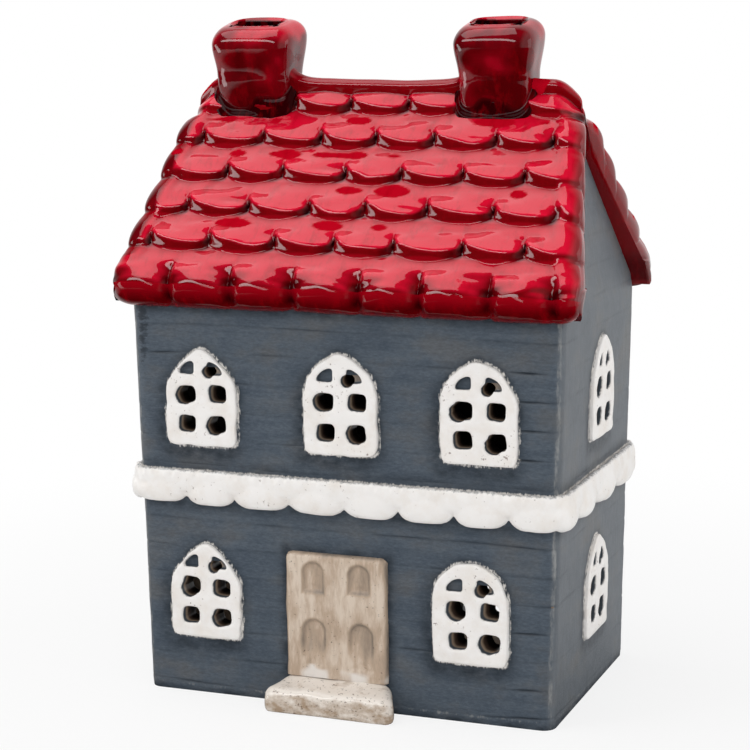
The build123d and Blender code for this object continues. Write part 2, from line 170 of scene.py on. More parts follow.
class Unevenness:
    """Smooth random waviness of hand-worked clay, the same on every run."""

    def __init__(self, seed: int) -> None:
        """Fill the table of random heights from a fixed seed."""
        self.table = np.random.default_rng(seed).uniform(-1.0, 1.0, (32, 32, 32))

    def at(self, points: Array, size: float | Point) -> Array:
        """Height between -1 and 1 at each point.

        Args:
            points: Places in millimetres, one row each.
            size: Distance between bumps, the same or one for each axis.

        Returns:
            One height for each point.
        """
        scaled = points / np.asarray(size, float)
        cell = np.floor(scaled).astype(int)
        part = scaled - cell
        part = part * part * (3 - 2 * part)
        total = np.zeros(len(points))
        for corner in np.ndindex(2, 2, 2):
            weight = np.prod(np.where(np.array(corner) == 1, part, 1 - part), axis=1)
            near = (cell + corner) % 32
            total += weight * self.table[near[:, 0], near[:, 1], near[:, 2]]
        return total


def uneven(seed: int) -> Unevenness:
    """Waviness as a field of a sub-assembly."""
    return field(default_factory=partial(Unevenness, seed))


def smooth_step(value: Array | float, low: float, high: float) -> Array:
    """Rise smoothly from 0 to 1 while the value goes from low to high."""
    part = np.clip((value - low) / (high - low), 0.0, 1.0)
    return part * part * (3 - 2 * part)


def bell(value: Array, middle: float, width: float) -> Array:
    """1 at the middle, fading like a bell to a third at the width on both sides."""
    return np.exp(-((value - middle) / width) ** 2)


def full_turn(count: int) -> Array:
    """Angles once round, without the last one."""
    return np.linspace(0.0, 2 * math.pi, count, endpoint=False)


def circle(count: int) -> Array:
    """Points of a flat circle of radius 1."""
    return np.column_stack([np.cos(full_turn(count)), np.sin(full_turn(count))])


def level_ring(flat: Array, height: Array | float) -> Array:
    """Points of a flat ring at a height, or at one height each."""
    return np.column_stack([flat, np.full(len(flat), height)])


def new_object(name: str, mesh: bpy.types.Mesh) -> Thing:
    """Put an object into the scene.

    Args:
        name: Its name.
        mesh: Its mesh.

    Returns:
        The object, at the origin.
    """
    thing = bpy.data.objects.new(name, mesh)
    bpy.context.scene.collection.objects.link(thing)
    return thing


def mesh_object(name: str, points: Array, faces: list) -> Thing:
    """Make a mesh object in the scene.

    Args:
        name: The object's name.
        points: Corners in millimetres.
        faces: Corner numbers of each face, outside seen anticlockwise.

    Returns:
        The object, at the origin, in metres.
    """
    mesh = bpy.data.meshes.new(name)
    mesh.from_pydata((np.asarray(points) * MM).tolist(), [], faces)
    mesh.validate()
    return new_object(name, mesh)


def joined(name: str, meshes: list[bpy.types.Mesh]) -> Thing:
    """Copy meshes into one new object.

    Args:
        name: The object's name.
        meshes: What it is made of.

    Returns:
        The object, with everything in its own place.
    """
    work = bmesh.new()
    for part in meshes:
        work.from_mesh(part)
    mesh = bpy.data.meshes.new(name)
    work.to_mesh(mesh)
    work.free()
    return new_object(name, mesh)


def read(items: bpy.types.bpy_prop_collection, key: str, wide: int) -> Array:
    """Read one property of every item.

    Args:
        items: A mesh's corners, or what is kept for them.
        key: The property.
        wide: How many numbers it has.

    Returns:
        One row for each item.
    """
    flat = np.zeros(len(items) * wide)
    items.foreach_get(key, flat)
    return flat.reshape(-1, wide)


def corners_of(thing: Thing) -> Array:
    """All corners of an object's mesh, in millimetres."""
    return read(thing.data.vertices, "co", 3) / MM


def set_corners(thing: Thing, points: Array) -> None:
    """Move all corners of an object's mesh to places in millimetres."""
    thing.data.vertices.foreach_set("co", (points * MM).ravel())
    thing.data.update()


def normals_of(thing: Thing) -> Array:
    """Outward direction at each corner of an object's mesh."""
    return read(thing.data.vertex_normals, "vector", 3)


def store(thing: Thing, name: str, values: Array) -> None:
    """Keep something for each corner as a named attribute, in place of an older one.

    Args:
        thing: The object.
        name: The attribute's name.
        values: One number, or one direction, for each corner.
    """
    kind, slot = ("FLOAT_VECTOR", "vector") if values.ndim == 2 else ("FLOAT", "value")
    if name in thing.data.attributes:
        thing.data.attributes.remove(thing.data.attributes[name])
    thing.data.attributes.new(name, kind, "POINT").data.foreach_set(slot, values.ravel())


def kept(thing: Thing, name: str) -> Array:
    """Number kept on each corner under a name."""
    return read(thing.data.attributes[name].data, "value", 1)[:, 0]


def freeze(thing: Thing) -> None:
    """Turn an object's modifiers into its plain mesh and take them off.

    Args:
        thing: The object.
    """
    graph = bpy.context.evaluated_depsgraph_get()
    mesh = bpy.data.meshes.new_from_object(thing.evaluated_get(graph), depsgraph=graph)
    old = thing.data
    thing.modifiers.clear()
    thing.data = mesh
    bpy.data.meshes.remove(old)


def weld(thing: Thing, distance: float = 0.002) -> None:
    """Merge corners that lie together and turn the faces outwards.

    Args:
        thing: The object.
        distance: How close they lie, in millimetres.
    """
    work = bmesh.new()
    work.from_mesh(thing.data)
    bmesh.ops.remove_doubles(work, verts=work.verts, dist=distance * MM)
    bmesh.ops.dissolve_degenerate(work, edges=work.edges, dist=distance * MM)
    bmesh.ops.recalc_face_normals(work, faces=work.faces)
    work.to_mesh(thing.data)
    work.free()


def round_over(thing: Thing, voxel: float, passes: int) -> None:
    """Melt an object's closed parts into one soft skin.

    Args:
        thing: The object, whose parts may overlap.
        voxel: Size of the new faces in millimetres.
        passes: How often the new skin is smoothed.
    """
    remesh = thing.modifiers.new("Melt", "REMESH")
    remesh.mode = "VOXEL"
    remesh.voxel_size = voxel * MM
    remesh.use_smooth_shade = True
    soften = thing.modifiers.new("Soften", "SMOOTH")
    soften.factor = 0.5
    soften.iterations = passes
    freeze(thing)


def discard(*things: Thing) -> None:
    """Remove working objects and their meshes.

    Args:
        things: The objects.
    """
    for thing in things:
        mesh = thing.data
        bpy.data.objects.remove(thing)
        bpy.data.meshes.remove(mesh)


def cut(thing: Thing, cutters: list[Thing]) -> None:
    """Take closed cutters out of a closed object and remove them from the scene.

    Args:
        thing: The object.
        cutters: What is taken out of it.
    """
    for cutter in cutters:
        boolean = thing.modifiers.new("Cut", "BOOLEAN")
        boolean.operation = "DIFFERENCE"
        boolean.solver = "MANIFOLD"
        boolean.object = cutter
    freeze(thing)
    discard(*cutters)


def loft(rings: list[Array], closed: bool = False) -> tuple[Array, list]:
    """Join rings of equal length into a skin.

    Args:
        rings: Closed rings of points in millimetres, bottom first, anticlockwise seen from above.
        closed: Join the last ring back to the first; otherwise both ends get a cap.

    Returns:
        Points and faces.
    """
    count = len(rings[0])
    around = np.arange(count)
    after = (around + 1) % count
    faces = []
    pairs = list(zip(range(len(rings) - 1), range(1, len(rings))))
    if closed:
        pairs.append((len(rings) - 1, 0))
    for low, high in pairs:
        quads = [low * count + around, low * count + after, high * count + after, high * count + around]
        faces += np.stack(quads, 1).tolist()
    if not closed:
        faces += [around[::-1].tolist(), (around + (len(rings) - 1) * count).tolist()]
    return np.concatenate(rings), faces


def node_box(node: str) -> tuple[Array, Array]:
    """Lowest and highest corner of a CAD node, in millimetres."""
    low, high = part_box(node)
    return np.array(low) / MM, np.array(high) / MM


def round_house(long_run: int, short_run: int, bends: int) -> Array:
    """Places once round the house, from its left front corner.

    Args:
        long_run: Places along the front, and along the back.
        short_run: Places along each gable.
        bends: Steps round each corner, its ends among them.

    Returns:
        Share of the straight run in X and Y, and the outward direction, one row each.
    """
    places = []
    sides = [((-1, -1), (1, -1), -90, long_run), ((1, -1), (1, 1), 0, short_run),
             ((1, 1), (-1, 1), 90, long_run), ((-1, 1), (-1, -1), 180, short_run)]
    for start, stop, facing, count in sides:
        angle = math.radians(facing)
        for share in np.linspace(0.0, 1.0, count):
            x, y = (a + (b - a) * share for a, b in zip(start, stop))
            places.append((x, y, math.cos(angle), math.sin(angle)))
        for turn in np.linspace(0.0, 90.0, bends)[1:-1]:
            bent = math.radians(facing + turn)
            places.append((*stop, math.cos(bent), math.sin(bent)))
    return np.array(places)


def new_tree(name: str, floats: dict[str, float], whole: dict[str, int], objects: tuple[str, ...] = ()) -> tuple:
    """Start a Geometry Nodes tree, which also takes its geometry and a material, the Coat.

    Args:
        name: The tree's name.
        floats: Sizes that it takes, with their defaults.
        whole: Counts and seeds that it takes, with their defaults.
        objects: Names of the objects that it takes.

    Returns:
        The tree, and what it is given by name.
    """
    tree = bpy.data.node_groups.new(name, "GeometryNodeTree")
    sockets = [("Geometry", "Geometry", None)] + [(label, "Object", None) for label in objects]
    sockets += [(label, "Float", value) for label, value in floats.items()]
    sockets += [(label, "Int", value) for label, value in whole.items()] + [("Coat", "Material", None)]
    for label, kind, default in sockets:
        socket = tree.interface.new_socket(label, in_out="INPUT", socket_type="NodeSocket" + kind)
        if default is not None:
            socket.default_value = default
    tree.interface.new_socket("Geometry", in_out="OUTPUT", socket_type="NodeSocketGeometry")
    given = tree.nodes.new("NodeGroupInput").outputs
    return tree, {label: Flow(given[label]) for label, _, _ in sockets}


def close_tree(shape: Flow, coat: Flow) -> None:
    """End a Geometry Nodes tree in real geometry with its material."""
    add = partial(add_node, shape.socket.id_data)
    add("NodeGroupOutput", add("SetMaterial", add("RealizeInstances", shape), None, coat))


def run_tree(thing: Thing, tree: bpy.types.NodeTree, values: dict[str, object]) -> None:
    """Send an object through a Geometry Nodes tree and keep the result as its plain mesh.

    Args:
        thing: The object.
        tree: The tree.
        values: What the tree is given, by name. It is set through the sockets' identifiers.
    """
    modifier = thing.modifiers.new(tree.name, "NODES")
    modifier.node_group = tree
    for item in tree.interface.items_tree:
        if item.item_type == "SOCKET" and item.in_out == "INPUT" and item.name in values:
            modifier[item.identifier] = values[item.name]
    freeze(thing)


def present(piece: Thing, body: str, nodes: list[str], sharp: float = 180.0) -> None:
    """Shade a finished piece, tie it to its body and let it stand for its CAD nodes.

    Args:
        piece: The finished object.
        body: CAD body that it rides on.
        nodes: CAD nodes that it replaces.
        sharp: Edges that turn more than this many degrees stay sharp.
    """
    piece.data.shade_smooth()
    if sharp < 180.0:
        piece.data.set_sharp_from_angle(angle=math.radians(sharp))
    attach(piece, body)
    if nodes:
        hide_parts(*nodes)
    log.info("%s: %d faces on %s", piece.name, len(piece.data.polygons), body)


# Finishes

@dataclass(frozen=True)
class Finish:
    """A material, with the name of what the real one is, and the strength and depth in metres of its relief."""

    name: str
    roughness: float
    ior: float = 1.5
    relief: Pair = (0.4, 0.0002)

    def material(self) -> bpy.types.Material:
        """Make the material, or give back the one already made.

        Returns:
            The material.
        """
        found = bpy.data.materials.get(self.name)
        if found:
            return found
        made = bpy.data.materials.new(self.name)
        made.use_nodes = True
        add = partial(add_node, made.node_tree)
        shader = made.node_tree.nodes["Principled BSDF"]
        for socket, value in ({"Roughness": self.roughness, "IOR": self.ior} | self.dress(add)).items():
            if socket == "Height":
                strength, depth = self.relief
                socket, value = "Normal", add("Bump", Strength=strength, Distance=depth, Height=value)
            feed(shader.inputs[socket], value)
        return made

    def dress(self, add: Adder) -> dict[str, object]:
        """What is special to this finish: values of the shader's sockets, and the Height of its relief."""
        return {}

    def give(self, piece: Thing) -> None:
        """Put this finish alone on a piece."""
        piece.data.materials.clear()
        piece.data.materials.append(self.material())


def spot_noise(add: Adder, spacing: float | Point, detail: float = 3.0, rough: float = 0.55) -> Flow:
    """Noise on Object coordinates, its spots a real distance in millimetres apart along X, Y and Z."""
    spread = add("Mapping", add("TexCoord")["Object"], Scale=tuple(1.0 / (np.full(3, spacing) * MM)))
    return add("TexNoise", spread, Scale=1.0, Detail=detail, Roughness=rough)


def lay(add: Adder, ground: object, *coats: tuple[Flow, str]) -> Flow:
    """Lay coats of colour over a ground.

    Args:
        add: Adds a node to the material's tree.
        ground: The colour below.
        coats: How far each coat covers what is below it, and its colour.

    Returns:
        The colour that is seen.
    """
    for share, code in coats:
        ground = add("Mix", share, ground, srgb(code), data_type="RGBA")
    return ground


@dataclass(frozen=True)
class RedGlaze(Finish):
    """Transparent red lead glaze, poured and fired: wet gloss, black-red where it pools, bright where thin, with
    painted shade in slits, grooves and on steep faces.
    """

    name: str = "Poured_red_glaze"
    roughness: float = 0.05
    relief: Pair = (0.35, 0.00016)
    thin: str = "#f41840"
    even: str = "#dc0e30"
    pooled: str = "#7a0212"
    # The darkest colour is deep pooled glaze and also painted shade in slits, grooves, flues and chimney feet; the
    # steep colour is painted shade on upright faces.
    deepest_pool_and_shade: str = "#130002"
    steep: str = "#780007"
    streak: str = "#98000e"
    blot: str = "#bc061e"

    def dress(self, add: Adder) -> dict[str, object]:
        """Colour by how thick the glaze lies and by painted shade in slits, grooves and on steep faces, with brushed
        streaks, and a slightly rippled surface.

        Args:
            add: Adds a node.

        Returns:
            Values of the shader's sockets.
        """
        pool, gathered, dip, lip = (add("Attribute", attribute_name=name)["Fac"]
                                    for name in ("glaze_pool", "gathered", "dip", "lip"))
        # Colour deepens with pooled glaze and with painted shade in slits, grooves and creases.
        depth = add("MapRange", gathered * 1.1 + pool, -0.5, 1.0)
        stops = [(0.0, self.thin), (0.34, self.even), (0.62, self.pooled), (1.0, self.deepest_pool_and_shade)]
        # Steep faces take the steep colour as painted shade, darker still where more shade is painted.
        darker = lay(add, srgb(self.steep), (gathered, self.deepest_pool_and_shade))
        plumb = add("Mix", lip, add("ValToRGB", depth, ramp=stops), darker, data_type="RGBA")
        streaks = add("MapRange", spot_noise(add, (2.2, 5.0, 5.0), 4.0, 0.65), 0.5, 0.78, 0.0, 0.6)
        return {"Base Color": lay(add, plumb, (dip, self.blot), (streaks, self.streak)),
                "Specular IOR Level": add("MapRange", dip * 0.9 + gathered, 0.2, 0.85, 0.5, 0.0),
                "Height": spot_noise(add, 3.5, 2.0, 0.4)}


@dataclass(frozen=True)
class SlateEngobe(Finish):
    """Blue-grey engobe, brushed on and fired half matt: soft streaks, dark edges round what was masked, painted shade
    in places and the gable walls painted lighter.
    """

    name: str = "Brushed_slate_engobe"
    roughness: float = 0.46
    dark: str = "#454f59"
    middle: str = "#525c67"
    light: str = "#626c76"
    # Dark colour of incised lines, brushed edges and painted shade.
    halo: str = "#2a323b"
    worn: str = "#a9a9a6"
    white: str = "#e9e5e0"
    # Light grey: painted light on the gable walls.
    painted_side_light: str = "#9a9893"
    earthy: str = "#6a655f"
    bluish: str = "#394757"

    def dress(self, add: Adder) -> dict[str, object]:
        """Streaks along the boards on the front, down the wall on the sides.

        Args:
            add: Adds a node.

        Returns:
            Values of the shader's sockets.
        """
        names = ("side_face", "groove", "halo", "slip_smear", "wear", "scored")
        side, line, halo, smear, wear, scored = (add("Attribute", attribute_name=name)["Fac"] for name in names)
        noise = partial(spot_noise, add)
        strokes = add("Mix", side, noise((22.0, 22.0, 1.7), 6.0, 0.68), noise((1.5, 1.5, 26.0), 6.0, 0.68))
        canvas = add("Mix", side, noise((1.5, 1.5, 0.55), 5.0, 0.8), noise((0.9, 0.9, 4.0), 5.0, 0.8))
        blend = add("Mix", 0.42, strokes, add("MapRange", canvas, 0.34, 0.66))
        brushed = add("ValToRGB", blend, ramp=[(0.3, self.dark), (0.5, self.middle), (0.7, self.light)])
        stops = [(0.34, self.earthy), (0.5, self.middle), (0.64, self.bluish)]
        tint = add("ValToRGB", noise((15.0, 15.0, 9.0), 4.0, 0.6), ramp=stops)
        ground = add("Mix", 0.34, brushed, tint, data_type="RGBA")
        blotch = add("MapRange", noise((3.0, 3.0, 2.0), 4.0, 0.65), 0.3, 0.62, 0.3, 1.15)
        # Incised lines, brushed halos and painted shade take the dark colour.
        edges = line.to("MAXIMUM", halo * blotch, use_clamp=True)
        flecks = add("MapRange", noise((0.5, 0.5, 1.8), 4.0, 0.75) * 0.9 + smear, 0.98, 1.16)
        bare = add("MapRange", noise((1.4, 1.4, 4.0), 4.0, 0.7) * 1.6 + wear, 1.42, 1.95, 0.0, 0.8)
        nicks = add("MapRange", noise((2.6, 2.6, 1.1), 3.0, 0.75) * 0.8 + scored, 1.08, 1.2, 0.0, 0.85)
        # Gable walls painted lighter as a painted sheen, then lines, halos and painted shade, slip flecks, wear and
        # nicks.
        coats = [(side * 0.2, self.painted_side_light), (edges, self.halo), (flecks, self.white), (bare, self.worn),
                 (nicks, self.halo)]
        return {"Base Color": lay(add, ground, *coats), "Roughness": add("MapRange", strokes, 0.0, 1.0, 0.36, 0.56),
                "Height": strokes * 0.5 + noise((0.9, 0.9, 0.45), 4.0, 0.7), "Specular IOR Level": 0.3}


@dataclass(frozen=True)
class WhiteSlip(Finish):
    """White slip laid on thick and glazed clear: cream-white with rusty pin specks, slate and clay in its holes, and
    painted shade deeper in.
    """

    name: str = "Thick_white_slip"
    roughness: float = 0.34
    white: str = "#fbf8f5"
    cream: str = "#efe7de"
    speck: str = "#6a4a38"
    slate: str = "#4b535b"
    clay: str = "#b09a84"
    # Darker clay and near black: painted shade deeper in the holes.
    shaded_clay: str = "#54443a"
    painted_shade_dark: str = "#15100d"

    def dress(self, add: Adder) -> dict[str, object]:
        """White face, slate at the first edge of each hole, raw clay, and painted shade darkening to near black further
        in.

        Args:
            add: Adds a node.

        Returns:
            Values of the shader's sockets.
        """
        cloud = spot_noise(add, 5.0, 4.0, 0.6)
        white = add("ValToRGB", cloud, ramp=[(0.42, self.white), (0.85, self.cream)])
        pins = spot_noise(add, 9.0, 2.0, 0.5) * 0.35 + spot_noise(add, 0.85, 2.0, 0.6)
        face = lay(add, white, (add("MapRange", pins, 0.87, 0.96, 0.0, 0.7), self.speck))
        depth = add("Attribute", attribute_name="depth")["Fac"]
        # Painted shade in the holes: past the slate and clay the colour darkens to near black with depth.
        stops = [(0.0, self.slate), (0.14, self.slate), (0.24, self.clay), (0.42, self.shaded_clay), (0.7, self.painted_shade_dark)]
        inside = add("ValToRGB", add("MapRange", depth, 0.0, 5.0), ramp=stops)
        furred = spot_noise(add, (0.8, 0.8, 1.6), 4.0, 0.7) * 0.9 + depth
        edge = add("MapRange", furred, 0.16, 0.5)
        return {"Base Color": add("Mix", edge, face, inside, data_type="RGBA"),
                "Height": spot_noise(add, 1.3, 4.0, 0.6)}


@dataclass(frozen=True)
class DoorSlip(Finish):
    """Thin beige slip rubbed over iron wash: grey-brown, streaked downwards, darker in the sunk panels and at the
    edges, part wash, part painted shade.
    """

    name: str = "Rubbed_beige_slip"
    roughness: float = 0.42
    relief: Pair = (0.45, 0.00025)
    light: str = "#decdbb"
    brown: str = "#c2ab95"
    grey: str = "#84786c"
    speck: str = "#4a3a30"
    white: str = "#f6f1ec"

    def dress(self, add: Adder) -> dict[str, object]:
        """Upright streaks of brown and grey, specks, grey where wash and painted shade gather, and white pooled at the
        foot.

        Args:
            add: Adds a node.

        Returns:
            Values of the shader's sockets.
        """
        settled, pooled = (add("Attribute", attribute_name=name)["Fac"] for name in ("settled", "pooled"))
        fine, broad = spot_noise(add, (1.4, 1.4, 6.0), 5.0, 0.68), spot_noise(add, (7.0, 7.0, 14.0), 2.0, 0.5)
        streaks = add("Mix", 0.5, fine, broad)
        stops = [(0.15, self.grey), (0.45, self.brown), (0.58, self.light)]
        # Grey where wash and painted shade lie.
        rubbed = add("ValToRGB", settled * -0.22 + streaks, ramp=stops)
        specks = add("MapRange", spot_noise(add, 0.7, 2.0, 0.6), 0.66, 0.74, 0.0, 0.7)
        return {"Base Color": lay(add, rubbed, (specks, self.speck), (pooled, self.white)),
                "Roughness": add("MapRange", pooled, 0.0, 1.0, self.roughness, 0.1), "Height": streaks}


@dataclass(frozen=True)
class StepGlaze(Finish):
    """Clear glaze over pale slip on the doorstep: glossy beige-white with rust-brown specks."""

    name: str = "Speckled_step_glaze"
    roughness: float = 0.1
    relief: Pair = (0.3, 0.0002)
    pale: str = "#efe6dc"
    beige: str = "#b09a84"
    speck: str = "#5c4434"

    def dress(self, add: Adder) -> dict[str, object]:
        """Clouds of beige, painted paler on the tread where it faces up, as painted light, with specks clustered in
        patches.

        Args:
            add: Adds a node.

        Returns:
            Values of the shader's sockets.
        """
        cloud = spot_noise(add, (4.0, 4.0, 2.5), 5.0, 0.65)
        # Painted light: faces that look up are paler.
        bright = add("Attribute", attribute_name="tread")["Fac"] * 0.22 + cloud
        clouded = add("ValToRGB", bright, ramp=[(0.38, self.beige), (0.66, self.pale)])
        specks = add("MapRange", spot_noise(add, (0.9, 0.9, 0.6), 3.0, 0.6), 0.6, 0.7, 0.0, 0.8)
        return {"Base Color": lay(add, clouded, (specks, self.speck)), "Height": cloud}


@dataclass(frozen=True)
class RawClay(Finish):
    """Unglazed buff stoneware inside the house: dry, sandy, with painted shade darkening it towards the top."""

    name: str = "Raw_buff_stoneware"
    roughness: float = 0.85
    relief: Pair = (0.6, 0.0003)
    buff: str = "#a8937c"
    brown: str = "#7d6856"
    # Near black: painted shade towards the top inside.
    painted_shade_dark: str = "#1b1512"

    def dress(self, add: Adder) -> dict[str, object]:
        """Sandy grain of about a millimetre, painted darker towards the top as painted shade.

        Args:
            add: Adds a node.

        Returns:
            Values of the shader's sockets.
        """
        grain = spot_noise(add, 1.1, 6.0, 0.7)
        sandy = add("ValToRGB", grain, ramp=[(0.3, self.brown), (0.7, self.buff)])
        height = add("SeparateXYZ", add("TexCoord")["Object"])["Z"]
        # Painted shade: the inside darkens to near black from 22 to 52 mm up.
        shaded_up = add("MapRange", height, 0.022, 0.052, 0.0, 0.93)
        return {"Base Color": lay(add, sandy, (shaded_up, self.painted_shade_dark)), "Height": grain}


@dataclass(frozen=True)
class SmallFinish(Finish):
    """A material of one colour, a little uneven at the size of its own grain, given in millimetres."""

    relief: Pair = (0.0, 0.0)
    dark: str = "#98999b"
    light: str = "#b9babb"
    stops: Pair = (0.3, 0.7)
    grain: float | Point = 0.8
    detail: float = 4.0
    rough: float = 0.6
    sockets: tuple[tuple[str, object], ...] = ()

    def dress(self, add: Adder) -> dict[str, object]:
        """Dark and light grain."""
        spots = spot_noise(add, self.grain, self.detail, self.rough)
        return ({"Base Color": add("ValToRGB", spots, ramp=list(zip(self.stops, (self.dark, self.light))))}
                | ({"Height": spots} if self.relief[0] else {}) | dict(self.sockets))


METAL = (("Metallic", 1.0),)
# Deep-drawn aluminium foil of a tealight cup: bright metal with fine upright draw lines
CUP_FOIL = SmallFinish("Drawn_aluminium_foil", 0.28, relief=(0.25, 0.00008), dark="#a9aaac", light="#c9cacb",
                       stops=(0.2, 0.8), grain=(0.5, 0.5, 8.0), detail=3.0, sockets=METAL)
# Pressed paraffin wax: milky white, faintly clouded, and light glows a little way in
CANDLE_WAX = SmallFinish("Pressed_paraffin_wax", 0.45, 1.44, (0.2, 0.0002), "#dcd6ca", "#ece8df",
                         grain=3.0, sockets=(("Subsurface Weight", 0.35), ("Subsurface Scale", 0.003),
                                                         ("Subsurface Radius", (1.0, 0.85, 0.7))))
# Waxed, plaited cotton: off-white cord with threads of a third of a millimetre
COTTON_WICK = SmallFinish("Plaited_cotton_wick", 0.8, dark="#a3988a", light="#d8cfc0", grain=(0.3, 0.3, 0.5),
                          detail=2.0, rough=0.5)
# Stamped tinplate of the wick's foot: dull bright metal with small scuffs
TINNED_STEEL = SmallFinish("Stamped_tinplate", 0.32, sockets=METAL)


# Roof

@dataclass
class Row:
    """One row of the roof's section, and what the tiles read from it."""

    y: float
    z: float
    turn: float
    down: float
    stretch: float = 1.0
    roll: float = -9.0
    nose: float = 0.0


@dataclass
class Roof:
    """Roof skin: slabs, lapped scalloped tiles, rolled ridge and thick eaves under one poured glaze."""

    bed_height: float = 140.5
    slab_thickness: float = 4.0
    ridge_half: float = 49.2
    eaves_half: float = 56.8
    slope_length: float = 50.94
    crest: float = 52.62
    tile_height: float = 3.0
    bead_radius: float = 4.33
    bed_round: float = 1.2
    roll_radius: float = 2.0
    roll_height: float = 143.5
    row_step: float = 0.42
    column_step: float = 0.46
    verge_round: float = 2.6
    verge_reach: float = 5.6
    verge_lump: float = 0.8
    end_round: float = 1.2
    end_drop: float = 2.3
    course_spacing: float = 9.75
    first_lip: float = 1.2
    tile_drop: float = 3.8
    attic_half: float = 46.0
    # How high and how far the glaze climbs each chimney
    climbs: tuple[tuple[str, float, float], ...] = (("left_chimney", 3.0, 2.2), ("right_chimney", 1.5, 1.7))

    def half_rows(self) -> list[Row]:
        """Mark where wash and painted shade gather, round the panels and at the leaf's edges, and where white glaze
        pooled at the foot.
        """
        sine, cosine = math.sin(PITCH), math.cos(PITCH)
        centre = self.bed_height - self.bed_round / cosine
        rows = []
        for turn in np.linspace(0.0, PITCH, 22)[:-1]:
            down = self.bed_round * math.tan(PITCH) - 4.2 * math.tan(PITCH - turn)
            rows.append(Row(-self.bed_round * math.sin(turn), centre + self.bed_round * math.cos(turn), turn, down,
                            1 / math.cos(PITCH - turn), self.roll_reach(turn, centre) - self.bed_round))
        for down in np.arange(self.bed_round * math.tan(PITCH), self.crest, self.row_step):
            nose = smooth_step(down, self.crest - 8.0, self.crest)
            rows.append(Row(-down * cosine, self.bed_height - down * sine, PITCH, down, nose=nose))
        inner = self.bead_radius - self.tile_height
        for turn in np.linspace(PITCH, math.radians(174), 24):
            nose = 1.0 - smooth_step(turn, math.radians(135), math.radians(172))
            rows.append(Row(-HALF_DEPTH - inner * math.sin(turn),
                            EAVES_HEIGHT + self.bead_radius + inner * math.cos(turn), turn,
                            self.crest + (turn - PITCH) * self.bead_radius, nose=nose))
        return rows

    def roll_reach(self, turn: float, centre: float) -> float:
        """Distance from the bed's rounding centre to the ridge roll along a ray, or far inside past it.

        Args:
            turn: The ray's angle from upright.
            centre: Height of the rounding's centre.

        Returns:
            The distance in millimetres.
        """
        rise = self.roll_height - centre
        aside = rise * math.sin(turn)
        if abs(aside) >= self.roll_radius:
            return self.bed_round - 9.0
        return rise * math.cos(turn) + math.sqrt(self.roll_radius ** 2 - aside ** 2)

    def half_width(self, down: float) -> float:
        """Half the roof's length at a place down the slope, with a lump at each course's end.

        Args:
            down: Distance down the slope.

        Returns:
            Half the length in millimetres.
        """
        taper = (self.eaves_half - self.ridge_half) * min(max(down, 0.0), self.slope_length) / self.slope_length
        past = smooth_step(down, self.slope_length - 2.0, self.slope_length + 2.0)
        lump = self.verge_swell(down) * (1 - past) + 0.75 * past
        tucked = self.end_round * math.exp(-(max(down, 0.0) / 4.5) ** 2)
        return self.ridge_half + taper + self.verge_lump * (lump - 0.6) - tucked

    def verge_swell(self, down: float) -> float:
        """How far the verge bulges at a place down the slope, 0 between courses and 1 amid one."""
        phase = (down - self.first_lip - self.tile_drop + 0.6) / self.course_spacing % 1.0
        return abs(math.sin(math.pi * phase ** 1.25)) ** 0.55

    def ring(self, row: Row, under: Pair, side: int, width: float, plain: float) -> tuple[Array, Array]:
        """One ring of the skin round the slab.

        Args:
            row: A row of the section.
            under: Y and Z on the slab's underside below it.
            side: -1 for the front slope, 1 for the back.
            width: Half the roof's length here.
            plain: The same on the underside, where no lump shows.

        Returns:
            Points, and how far each one rises with the tiles.
        """
        base = np.array([-side * row.y, row.z])
        ray = np.array([side * math.sin(row.turn), math.cos(row.turn)])
        below = np.array([-side * under[0], under[1]])
        flat = width - self.verge_reach
        corner = [(flat + self.verge_reach * math.sin(a), 1.0, self.verge_round * (1 - math.cos(a)))
                  for a in np.linspace(0.0, math.pi / 2, 12)[1:]]
        corner += [(plain + (width - plain) * g + 0.35 * math.sin(math.pi * g), g, self.verge_round * g)
                   for g in np.linspace(1.0, 0.0, 10)[1:]]
        count = int(2 * self.ridge_half / self.column_step)
        loop = [(x, 1.0, 0.0) for x in np.linspace(-flat, flat, count)] + corner
        loop += [(x, 0.0, 0.0) for x in np.linspace(plain - 0.6, 0.6 - plain, 26)]
        loop += [(-x, g, drop) for x, g, drop in corner[::-1]]
        points = [(x, *(below + (base - below) * g - ray * drop)) for x, g, drop in loop]
        return np.array(points), np.array([g for _, g, _ in loop])

    def climb(self, along: Array) -> Array:
        """How far the glaze climbs from the ridge onto the chimneys' sides, less a sag between them.

        Args:
            along: Places along the roof.

        Returns:
            The rise at each of them in millimetres.
        """
        rise = -0.35 * bell(along, 4.0, 12.0)
        for node, height, spread in self.climbs:
            low, high = node_box(node)
            gap = np.maximum(np.maximum(low[0] - along, along - high[0]) + 0.9, 0.0)
            share = np.where(np.abs(along) > abs(low[0] + high[0]) / 2, 0.3, 1.0)
            rise = rise + share * height * np.exp(-gap / spread)
        return rise

